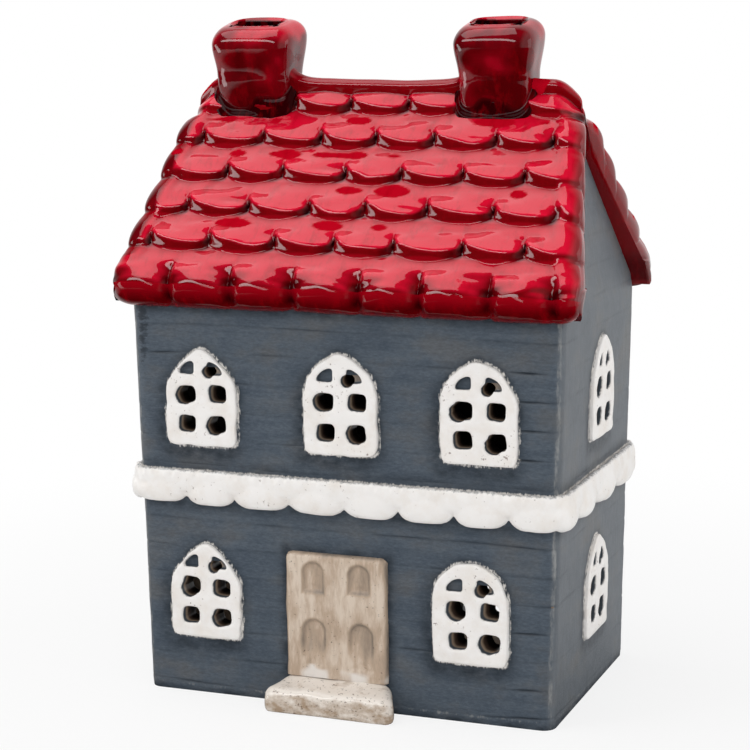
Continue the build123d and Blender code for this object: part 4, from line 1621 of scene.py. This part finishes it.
    def build(self, tree: bpy.types.NodeTree) -> Thing:
        """Cut the panes, lights and punched holes and melt the edges.

        Args:
            tree: The shared tree that pierces plaques.

        Returns:
            The plaque with its reveals.
        """
        thing = self.prism(self.node + "_plaque", self.outline(), -0.7, self.proud)
        disc = circle(28)
        square = (np.abs(disc[:, 0]) ** 4.5 + np.abs(disc[:, 1]) ** 4.5) ** (-1 / 4.5)
        pane_ring = disc * square[:, None] * (self.pane[0] / 2, self.pane[1] / 2)
        ragged = 1.0 + 0.11 * self.wavy.at(level_ring(disc, 0.0) * 3, 0.8)
        column = (self.mullion + self.pane[0]) / 2
        first = self.sill_rail + self.pane[1] / 2
        second = first + self.pane[1] + self.transom
        foot = second + self.pane[1] / 2 + self.light_rail
        back, top = -self.wall - 3.0, self.cutter_top
        helpers = {
            "Block": self.prism("reveal_block", self.block_ring(), -self.wall - 0.2, 0.2),
            "Pane": self.prism("pane_cutter", pane_ring, back, top, 0.8, self.slant),
            "Punch": self.prism("punch_cutter", disc * ragged[:, None], back, top, 0.95,
                                (self.slant[0] / 2.2, self.slant[1] / 2.2)),
            "Pane Marks": self.marks("pane_marks", (-column, first), (column, first), (-column, second),
                                     (column, second)),
            "Punch Marks": self.marks("punch_marks", (-column - 0.75, second - 0.55), (column - 0.75, first - 0.5)),
            "Peep Marks": self.marks("peep_marks", (1.75, foot + 0.35)), "Lights": self.lights()}
        run_tree(thing, tree, helpers | {"Seed": self.seed, "Coat": WhiteSlip().material()})
        discard(*helpers.values())
        round_over(thing, 0.3, 6)
        points, outward = corners_of(thing), normals_of(thing)
        swell = 0.15 * self.wavy.at(points, 3.0) + 0.06 * self.wavy.at(points + 70, 1.1)
        points = points + outward * (swell * (points[:, 2] > -0.3))[:, None]
        to_rim = np.linalg.norm(points[:, None, :2] - self.outline()[None], axis=2).min(axis=1)
        set_corners(thing, self.to_wall(points))
        store(thing, "depth", -points[:, 2] + 0.55 * smooth_step(to_rim, 0.9, 1.6))
        weld(thing, 0.001)
        return thing

    def pocket(self) -> Thing:
        """Plug that makes room in the wall for the clay round the holes.

        Returns:
            The plug, in its place.
        """
        ring = self.block_ring()
        middle = ring.mean(axis=0)
        thing = self.prism("window_pocket", middle + (ring - middle) * 0.97, -self.wall - 2.0, 3.0)
        set_corners(thing, self.to_wall(corners_of(thing)))
        weld(thing)
        return thing

    def dress(self, thing: Thing) -> None:
        """Lay on the white slip."""
        WhiteSlip().give(thing)
        present(thing, HOUSE, [self.node])


def piercing_tree() -> bpy.types.NodeTree:
    """Geometry Nodes that cut panes, punched holes and lights out of a plaque.

    Returns:
        The tree.
    """
    objects = ("Block", "Pane", "Pane Marks", "Punch", "Punch Marks", "Peep Marks", "Lights")
    tree, size = new_tree("Pierced plaque", {"Jitter": 0.25 * MM, "Pane Size": 1.0, "Punch Radius": 2.25,
                                             "Peep Radius": 1.5}, {"Seed": 1}, objects)
    add = partial(add_node, tree)
    random = partial(add, "RandomValue", data_type="FLOAT_VECTOR")
    shape = {name: add("GeometryNodeObjectInfo", size[name])["Geometry"] for name in objects}
    exact = {"solver": "EXACT", "Self_Intersection": True}
    whole = add("MeshBoolean", [size["Geometry"], shape["Block"]], operation="UNION", **exact)
    low, high = (add("VectorMath", (sign, sign, 0), operation="SCALE", Scale=size["Jitter"]) for sign in (-1, 1))
    cutters = []
    for number, (tool, marks, radius) in enumerate((("Pane", "Pane Marks", "Pane Size"),
                                                    ("Punch", "Punch Marks", "Punch Radius"),
                                                    ("Punch", "Peep Marks", "Peep Radius"))):
        seed = size["Seed"] + float(number)
        moved = add("SetPosition", shape[marks], Offset=random(low, high, Seed=seed))
        turned = random((0, 0, -0.09), (0, 0, 0.09), Seed=seed)
        flat = add("CombineXYZ", size[radius], size[radius], 1.0)
        placed = add("InstanceOnPoints", moved, Instance=shape[tool], Rotation=turned, Scale=flat)
        cutters.append(add("RealizeInstances", placed))
    holes = add("JoinGeometry", cutters + [shape["Lights"]])
    close_tree(add("MeshBoolean", whole, holes, operation="DIFFERENCE", **exact), size["Coat"])
    return tree


# Storey band

@dataclass
class StoreyBand:
    """White moulding round the house: a rolled strip with round pillows that hang below it."""

    half_x: float = 52.2
    corner: float = 3.0
    foot: float = 46.4
    top: float = 55.0
    hang: float = 3.2
    proud: float = 2.4
    front_cusps: tuple[float, ...] = (-52.6, -39.4, -26.7, -13.0, 1.0, 14.1, 27.8, 40.7, 53.0)
    side_cusps: tuple[float, ...] = (-32.8, -20.6, -4.9, 13.2, 32.2)
    wavy: Unevenness = uneven(37)

    def strip(self) -> Thing:
        """Rolled strip round the four walls.

        Returns:
            The strip.
        """
        track = round_house(100, 60, 7)
        middle = (self.top + self.foot + self.hang) / 2
        tall = (self.top - self.foot - self.hang) / 2
        straight = track[:, :2] * (self.half_x - self.corner, HALF_DEPTH - self.corner)
        rings = []
        for turn in full_turn(20):
            out = math.copysign(abs(math.cos(turn)) ** 0.7, math.cos(turn)) * self.proud * 0.46
            out += self.corner + self.proud * 0.42
            up = middle + tall * math.copysign(abs(math.sin(turn)) ** 0.8, math.sin(turn))
            rings.append(level_ring(straight + track[:, 2:] * out, up))
        thing = mesh_object("storey_band", *loft(rings, closed=True))
        weld(thing)
        return thing

    def pillow(self) -> Thing:
        """Soft round lump of unit size.

        Returns:
            The lump.
        """
        rings = [level_ring(circle(36) * (1 - abs(level) ** 2.4) ** (1 / 2.4), level)
                 for level in np.linspace(-1.0, 1.0, 17)[1:-1]]
        thing = mesh_object("pillow", *loft(rings))
        set_corners(thing, corners_of(thing) / MM)
        return thing

    def marks(self) -> Thing:
        """A point at the middle of each pillow, with its size and facing.

        Returns:
            The loose points.
        """
        places, sizes, facings = [], [], []
        centre_z = self.foot + 3.3
        for sign in (-1, 1):
            for left, right in zip(self.front_cusps, self.front_cusps[1:]):
                places.append((-sign * (left + right) / 2, sign * (HALF_DEPTH + 0.35), centre_z))
                sizes.append(((right - left) / 2 + 0.25, self.proud - 0.25, 3.5))
                facings.append((0.0, 0.0, 0.0))
            for left, right in zip(self.side_cusps, self.side_cusps[1:]):
                places.append((sign * (self.half_x + 0.25), (left + right) / 2, centre_z + 0.2))
                sizes.append(((right - left) / 2 + 0.25, self.proud + 0.1, 3.8))
                facings.append((0.0, 0.0, math.pi / 2))
        thing = mesh_object("pillow_marks", np.array(places), [])
        store(thing, "size", np.array(sizes) * MM)
        store(thing, "facing", np.array(facings))
        return thing

    def tree(self) -> bpy.types.NodeTree:
        """Geometry Nodes that hang a pillow at every mark, each a little different.

        Returns:
            The tree.
        """
        tree, given = new_tree("Hanging pillows", {"Change": 0.05}, {"Seed": 3}, ("Pillow", "Marks"))
        add = partial(add_node, tree)
        pillow, marks = (add("GeometryNodeObjectInfo", given[name])["Geometry"] for name in ("Pillow", "Marks"))
        size, facing = (add("InputNamedAttribute", name, data_type="FLOAT_VECTOR") for name in ("size", "facing"))
        lot = add("RandomValue", (-1, -1, -1), (1, 1, 1), data_type="FLOAT_VECTOR", Seed=given["Seed"])
        spread = add("VectorMath", lot, operation="SCALE", Scale=given["Change"])
        whole = add("VectorMath", spread, (1, 1, 1), operation="ADD")
        scale = add("VectorMath", size, whole, operation="MULTIPLY")
        placed = add("InstanceOnPoints", marks, Instance=pillow, Rotation=facing, Scale=scale)
        close_tree(add("JoinGeometry", [given["Geometry"], placed]), given["Coat"])
        return tree

    def build(self) -> Thing:
        """Join strip and pillows and melt them together.

        Returns:
            The band.
        """
        thing = self.strip()
        helpers = {"Pillow": self.pillow(), "Marks": self.marks()}
        run_tree(thing, self.tree(), helpers | {"Coat": WhiteSlip().material()})
        discard(*helpers.values())
        round_over(thing, 0.42, 4)
        points, outward = corners_of(thing), normals_of(thing)
        bristle = self.wavy.at(points, (0.9, 0.9, 6.0)) * smooth_step(points[:, 2], 52.0, 55.0)
        swell = 0.16 * self.wavy.at(points, 4.5) + 0.06 * self.wavy.at(points + 70, 1.4) + 0.3 * bristle
        set_corners(thing, points + outward * swell[:, None])
        store(thing, "depth", -1.0 + 0.9 * smooth_step(points[:, 2], 53.0, 55.2))
        return thing

    def dress(self, thing: Thing) -> None:
        """Lay on the white slip."""
        WhiteSlip().give(thing)
        present(thing, HOUSE, [f"{side}_storey_band" for side in ("front", "back", "left", "right")])


# Door and doorstep

@dataclass
class Door:
    """Door leaf with four sunk, round-headed panels, each given by its left, right, low and high edge."""

    step: float = 0.28
    recess: float = 0.85
    edge: float = 1.3
    corner: float = 1.8
    panels: tuple[tuple[float, float, float, float], ...] = (
        (-9.7, -3.9, 10.1, 21.3), (2.0, 7.9, 9.6, 21.1), (-9.6, -4.2, 27.7, 35.1), (1.9, 7.3, 28.2, 35.2))
    wavy: Unevenness = uneven(53)

    def __post_init__(self) -> None:
        """Read the door's place from its CAD node."""
        self.low, self.high = node_box("front_door")

    def sunk(self, x: Array, z: Array) -> Array:
        """How far each place lies inside the nearest panel.

        Args:
            x: Places across.
            z: Heights.

        Returns:
            Distances in millimetres, below 0 outside.
        """
        inside = np.full(x.shape, -9.0)
        for left, right, low, high in self.panels:
            half, middle = (right - left) / 2, (left + right) / 2
            box = np.minimum(half - np.abs(x - middle), z - low)
            arch = half - np.hypot(x - middle, z - (high - half))
            inside = np.maximum(inside, np.where(z > high - half, arch, box))
        return inside

    def relief(self, x: Array, z: Array) -> Array:
        """How far each place stands out from the wall.

        Args:
            x: Places across.
            z: Heights.

        Returns:
            Distances in millimetres.
        """
        low, high = self.low, self.high
        spots = np.column_stack([x.ravel(), z.ravel() * 0, z.ravel()])

        def waves(points: Array, size: float | Point) -> Array:
            """Waviness in the shape of the grid."""
            return self.wavy.at(points, size).reshape(x.shape)

        inside = self.sunk(x + 0.25 * waves(spots, 5.0), z)
        edge_x = np.minimum(x - low[0], high[0] - x) + 0.3 * waves(spots + (0, 9, 0), 4.0)
        round_x, round_z = np.maximum(self.corner - edge_x, 0.0), np.maximum(self.corner - (high[2] - z), 0.0)
        rim = self.corner - np.hypot(round_x, round_z)
        out = high[1] - low[1] - 0.05
        pressed = np.maximum(smooth_step(z, 11.5, 17.0), smooth_step(-z, -11.0, -10.0) * 0.4)
        pressed = self.recess * (0.2 + 0.8 * pressed)
        relief = out - pressed * smooth_step(inside, -0.35, 0.9) + 0.3 * smooth_step(inside, 1.2, 2.4)
        relief -= 0.3 * bell(x, -1.1, 2.2) * smooth_step(z, 8.0, 13.0) * smooth_step(-z, -26.0, -20.0)
        turned = 1.0 - np.clip(rim / self.edge, 0.0, 1.0)
        relief -= (out + 0.2) * (1.0 - np.sqrt(1.0 - turned ** 2))
        relief += 0.1 * waves(spots, (3.0, 3.0, 8.0)) + 0.04 * waves(spots + 30, 1.2)
        relief -= 0.22 * bell(x + 1.1 + 0.02 * (z - 20), 0.0, 0.35)
        return relief - 0.3 * bell(x - 8.8 - 0.02 * (z - 30), 0.0, 0.3) * smooth_step(z, 22.0, 28.0)

    def build(self) -> Thing:
        """A closed slab whose front is pressed into panels and rounded at the edges.

        Returns:
            The leaf.
        """
        low, high = self.low, self.high
        x, z = np.meshgrid(*(np.arange(low[axis], high[axis] + 0.01, self.step) for axis in (0, 2)))
        front = np.column_stack([x.ravel(), high[1] - self.relief(x, z).ravel(), z.ravel()])
        grid = np.arange(x.size).reshape(x.shape)
        faces = np.stack([grid[:-1, :-1], grid[:-1, 1:], grid[1:, 1:], grid[1:, :-1]], -1).reshape(-1, 4).tolist()
        border = np.concatenate([grid[0, :], grid[1:, -1], grid[-1, -2::-1], grid[-2:0:-1, 0]])
        back = front[border].copy()
        back[:, 1] = high[1] + 0.4
        behind = np.arange(len(border)) + len(front)
        faces += np.stack([np.roll(border, -1), border, behind, np.roll(behind, -1)], 1).tolist()
        faces.append(behind[::-1].tolist())
        thing = mesh_object("panelled_door", np.concatenate([front, back]), faces)
        weld(thing)
        self.rub(thing)
        return thing

    def rub(self, thing: Thing) -> None:
        """Mark where the wash settled, and where white glaze pooled at the foot.

        Args:
            thing: The leaf.
        """
        points, low, high = corners_of(thing), self.low, self.high
        x, z = points[:, 0], points[:, 2]
        sunk = self.sunk(x, z)
        # Wash and painted shade along the panels' edges and along the leaf's sides and top.
        border = np.exp(-(np.minimum(np.minimum(x - low[0], high[0] - x), high[2] - z) / 0.5) ** 2)
        clear = smooth_step(z, 11.0, 16.0)
        in_panels = 1.1 * bell(sunk, 0.15, 0.45) * clear + 0.4 * smooth_step(sunk, -0.2, 1.0) * clear
        store(thing, "settled", in_panels + 1.2 * border)
        ragged = z + 1.3 * self.wavy.at(points + 70, (2.6, 4.0, 1.6))
        beside = 0.55 - 0.5 * np.cos((x + 1.0) * math.pi / 5.6) + 0.6 * self.wavy.at(points + 90, 2.0)
        foot = 1 - smooth_step(ragged, low[2] + 1.6, low[2] + 3.0)
        store(thing, "pooled", 0.85 * foot * smooth_step(beside, 0.2, 1.0))

    def dress(self, thing: Thing) -> None:
        """Rub the slip over it."""
        DoorSlip().give(thing)
        present(thing, HOUSE, ["front_door"], 60.0)


@dataclass
class DoorStep:
    """Thick, soft tread at the door."""

    node: str = "door_step"
    wavy: Unevenness = uneven(61)

    def build(self) -> Thing:
        """Soften a copy of the CAD tread and leave it as uneven as a hand-pressed pad.

        Returns:
            The tread.
        """
        thing = joined("soft_doorstep", [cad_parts[self.node].data])
        weld(thing, 0.01)
        round_over(thing, 0.4, 40)
        points, outward = corners_of(thing), normals_of(thing)
        lift = 0.3 + 0.35 * self.wavy.at(points, 6.0) + 0.16 * self.wavy.at(points + 50, 2.4)
        points = points + outward * lift[:, None]
        points[:, 2] = np.maximum(points[:, 2], 0.05)
        set_corners(thing, points)
        # Painted light on faces that look up.
        store(thing, "tread", smooth_step(outward[:, 2], 0.1, 0.8))
        return thing

    def dress(self, thing: Thing) -> None:
        """Glaze it."""
        StepGlaze().give(thing)
        present(thing, HOUSE, [self.node])


# Tealight

@dataclass
class Tealight:
    """A standard tealight on the floor of the house."""

    around: int = 128
    flute: float = 0.1
    flutes: int = 44
    wick_around: int = 18
    wick_radius: float = 0.66

    def turned(self, name: str, profile: list[Pair], ripple: float = 0.0) -> Thing:
        """Turn a closed profile about the upright axis.

        Args:
            name: The object's name.
            profile: Radius and height of each point, from the outside foot round to the inside.
            ripple: Depth of its upright flutes, in millimetres.

        Returns:
            The turned object.
        """
        rings = []
        for radius, height in profile:
            reach = radius + (ripple if radius > 12.0 else 0.0) * np.cos(full_turn(self.around) * self.flutes)
            rings.append(level_ring(circle(self.around) * reach[:, None], height))
        thing = mesh_object(name, *loft(rings))
        weld(thing)
        return thing

    def cup(self) -> Thing:
        """Foil cup with flutes pressed into its wall and a rolled rim.

        Returns:
            The cup.
        """
        low, high = node_box("tealight_cup")
        foot, top = low[2] + 0.02, high[2]
        outer = [(18.0, foot), (18.25, foot + 0.3)] + [(18.25 + 0.05 * n, foot + 0.3 + 1.05 * n) for n in range(1, 14)]
        rim = [(19.1, top - 0.7), (19.32, top - 0.4), (19.25, top - 0.1), (19.0, top), (18.72, top - 0.15)]
        inner = [(18.55, top - 0.6), (18.45, top - 2.2), (17.9, foot + 0.4)]
        return self.turned("fluted_foil_cup", [(0.02, foot)] + outer + rim + inner + [(0.02, foot + 0.4)], self.flute)

    def wax(self) -> Thing:
        """Wax with a low meniscus at the wall and round the wick.

        Returns:
            The wax.
        """
        low, high = node_box("tealight_wax")
        foot, top = low[2] + 0.05, high[2]
        profile = [(0.02, foot), (17.5, foot), (17.75, foot + 1.0), (18.2, top - 0.2), (18.15, top + 0.25),
                   (17.6, top + 0.02), (16.0, top - 0.1), (8.0, top - 0.15), (3.0, top - 0.05), (1.5, top + 0.2),
                   (0.9, top + 0.55), (0.02, top + 0.6)]
        return self.turned("paraffin_fill", profile)

    def wick(self) -> Thing:
        """Plaited wick that leans as the CAD one does.

        Returns:
            The wick.
        """
        low, high = node_box("tealight_wick")
        turn = full_turn(self.wick_around)
        bottom = low[2] + 8.0
        rings = []
        for share in np.linspace(0.0, 1.0, 60):
            z = bottom + (high[2] - bottom) * share
            centre = 1.6 * max(0.0, (z - (high[2] - 6.0)) / 6.0) ** 2
            radius = self.wick_radius + 0.09 * np.cos(3 * turn + share * 40.0)
            radius = radius * (1.0 - max(share - 0.95, 0.0) * 9.0)
            rings.append(level_ring(np.column_stack([centre + np.cos(turn) * radius, np.sin(turn) * radius]), z))
        return mesh_object("plaited_wick", *loft(rings))

    def build(self) -> None:
        """Make and dress cup, wax and wick; the wick's foot keeps its CAD shape."""
        for thing, finish, slot, node, sharp in ((self.cup(), CUP_FOIL, "cup_foil", "tealight_cup", 50.0),
                                                 (self.wax(), CANDLE_WAX, "candle_wax", "tealight_wax", 180.0),
                                                 (self.wick(), COTTON_WICK, "cotton_wick", "tealight_wick", 180.0)):
            finish.give(thing)
            present(thing, TEALIGHT, [node], sharp)
        dress_node("wick_sustainer", TINNED_STEEL)


def dress_node(node: str, finish: Finish) -> None:
    """Give a CAD node that stays in view its finish.

    Args:
        node: The node.
        finish: What it is made of.
    """
    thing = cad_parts[node]
    if not thing.material_slots:
        thing.data.materials.append(None)
    for slot in thing.material_slots:
        slot.material = finish.material()
    log.info("%s keeps its CAD shape", node)


# Studio

@dataclass
class Studio:
    """White table, soft boxes and the camera at the photograph's place."""

    place: Point = (181.02, -475.85, 165.37)
    forward: Point = (-0.3557, 0.9178, -0.1763)
    right: Point = (0.9331, 0.3594, -0.0115)
    focal_pixels: float = 2131.5
    frame_pixels: float = 750.0
    sensor: float = 36.0
    table_radius: float = 900.0
    table_around: int = 96
    aim: Point = (0.0, 0.0, 0.08)
    paper: str = "#f2f2f2"
    # Tone of the paper in glossy rays: a painted dark reflection.
    mirrored_paper: str = "#1c1414"

    def camera(self) -> None:
        """Camera fitted to the corners of the house in the photograph."""
        data = bpy.data.cameras.new("Studio_camera")
        data.sensor_width = self.sensor
        data.lens = self.focal_pixels / self.frame_pixels * self.sensor
        data.clip_start, data.clip_end = 0.01, 20.0
        eye = new_object("Studio_camera", data)
        ahead, aside = Vector(self.forward).normalized(), Vector(self.right)
        aside = (aside - ahead * aside.dot(ahead)).normalized()
        turn = Matrix((aside, aside.cross(ahead), -ahead)).transposed().to_4x4()
        eye.matrix_world = Matrix.Translation(Vector(self.place) * MM) @ turn
        bpy.context.scene.camera = eye

    def soft_box(self, name: str, place: Point, aim: Point, size: Pair, radiance: float, mirrored: bool = True,
                 lights: bool = True, roll: float = 0.0) -> None:
        """Area lamp of a size in metres and a brightness where 1 is white.

        Args:
            name: The lamp's name.
            place: Where it hangs, in metres.
            aim: Where it points, in metres.
            size: Width and height.
            radiance: Brightness of its face.
            mirrored: Glossy surfaces show it.
            lights: It lights the matt part of surfaces too.
            roll: Its turn about its own axis, in degrees.
        """
        data = bpy.data.lights.new(name, "AREA")
        data.shape = "RECTANGLE"
        data.size, data.size_y = size
        data.energy = radiance * math.pi * size[0] * size[1]
        lamp = new_object(name, data)
        lamp.location = place
        lamp.visible_glossy, lamp.visible_diffuse = mirrored, lights
        facing = (Vector(aim) - Vector(place)).to_track_quat("-Z", "Y").to_matrix()
        lamp.rotation_euler = (facing @ Matrix.Rotation(math.radians(roll), 3, "Z")).to_euler()

    def lamps(self) -> None:
        """A large box overhead, narrow lights that only the glaze mirrors, and weak boxes all round."""
        self.soft_box("Overhead_box", (-0.40, -0.13, 1.15), (-0.01, -0.02, 0.12), (0.8, 0.8), 2.1)
        self.soft_box("Edge_strip", (-0.36, -0.72, 0.74), (0.0, -0.02, 0.12), (0.9, 0.2), 5.5, lights=False)
        self.soft_box("Left_card", (-0.48, -0.24, 0.11), (0.0, -0.03, 0.12), (0.36, 0.12), 4.2, lights=False,
                      roll=-45.0)
        self.soft_box("Right_box", (1.15, 0.1, 0.35), self.aim, (0.7, 1.0), 1.0)
        self.soft_box("Left_box", (-1.05, -0.95, 0.35), self.aim, (0.4, 1.0), 2.0, False)
        self.soft_box("Front_box", (0.75, -1.3, 0.75), self.aim, (0.9, 0.7), 1.7, False)

    def world(self) -> None:
        """White all round for the camera, white behind and dim in front for what reflects it."""
        world = bpy.data.worlds.new("White_studio")
        bpy.context.scene.world = world
        world.use_nodes = True
        world.node_tree.nodes.clear()
        add = partial(add_node, world.node_tree)
        path, axes = add("LightPath"), add("SeparateXYZ", add("TexCoord")["Generated"])
        around = add("MapRange", axes["Y"], 0.1, 0.5, 0.03, 1.0).to(
            "MAXIMUM", add("MapRange", axes["X"], 0.25, 0.55, 0.03, 0.6))
        seen = path["Is Glossy Ray"].to("MAXIMUM", path["Is Transmission Ray"]) * around
        total = seen + path["Is Diffuse Ray"] * 0.6 + path["Is Camera Ray"]
        add("OutputWorld", add("Background", (1, 1, 1, 1), total))

    def table(self) -> None:
        """White table top whose far parts vanish into the background and whose middle takes the shadow."""
        rings = [level_ring(circle(self.table_around) * radius, 0.0) for radius in (self.table_radius, 0.5)]
        around = np.arange(self.table_around)
        after, inner = np.roll(around, -1), around + self.table_around
        faces = np.stack([around, after, np.roll(inner, -1), inner], 1).tolist() + [inner.tolist()]
        top = mesh_object("White_table", np.concatenate(rings), faces)
        paper = bpy.data.materials.new("White_table_paper")
        paper.use_nodes = True
        paper.node_tree.nodes.clear()
        add = partial(add_node, paper.node_tree)
        path, where = add("LightPath"), add("TexCoord")["Object"]
        axes = add("SeparateXYZ", where)
        length = add("VectorMath", where, operation="LENGTH")
        bright = add("MapRange", length, 0.09, 0.26, 0.8, 1.0, interpolation_type="SMOOTHSTEP")
        # In glossy rays the paper is dark except to the left and behind: a painted dark reflection.
        leftward = add("MapRange", axes["X"], -0.24, -0.34)
        open_part = add("MapRange", axes["Y"], -0.03, 0.04).to("MAXIMUM", leftward)
        mirrored = (1.0 - open_part) * path["Is Glossy Ray"]
        tone = lay(add, srgb(self.paper), (mirrored, self.mirrored_paper))
        matt, glow = add("BsdfDiffuse", tone), add("Emission", (1, 1, 1, 1), 1.0)
        add("OutputMaterial", add("MixShader", path["Is Camera Ray"] * bright, matt, glow))
        top.data.materials.append(paper)

    def build(self) -> None:
        """Set up camera, lamps, world and table."""
        for part in (self.camera, self.lamps, self.world, self.table):
            part()
        bpy.context.scene.view_settings.view_transform = "Standard"


def main() -> None:
    """Build and dress the whole house."""
    logging.basicConfig(level=logging.INFO, format="%(message)s")
    roof = Roof()
    skin = roof.build()
    tree = BVHTree.FromPolygons([vertex.co for vertex in skin.data.vertices],
                                [list(face.vertices) for face in skin.data.polygons])
    chimneys = [Chimney("left_chimney", 5), Chimney("right_chimney", 8)]
    for chimney in chimneys:
        chimney.dress(chimney.build(tree))
    roof.dress(skin, [chimney.flue_cutter() for chimney in chimneys])

    windows = [
        Window("upper_front_window_left", Head.STRAIGHT, 101, 14.6),
        Window("upper_front_window_centre", Head.CURVED, 102, 15.2),
        Window("upper_front_window_right", Head.CURVED, 103, 15.2),
        Window("lower_front_window_left", Head.STRAIGHT, 104, 14.6),
        Window("lower_front_window_right", Head.ROUND, 105, 15.4, slant=(3.4, 1.2)),
        Window("right_side_window_upper", Head.GOTHIC, 106, 12.5),
        Window("right_side_window_lower", Head.GOTHIC, 107, 12.5),
        Window("left_side_window_upper", Head.GOTHIC, 108, 12.5),
        Window("left_side_window_lower", Head.GOTHIC, 109, 12.5),
    ]
    piercing = piercing_tree()
    for window in windows:
        window.dress(window.build(piercing))

    walls = Walls()
    shell = walls.shell()
    walls.incise(shell)
    cut(shell, [window.pocket() for window in windows] + [walls.doorway()])
    walls.dress(shell, windows)

    for part in (StoreyBand(), Door(), DoorStep()):
        part.dress(part.build())
    Tealight().build()
    dress_node("base_slab", RawClay())
    Studio().build()


if __name__ == "__main__":
    main()
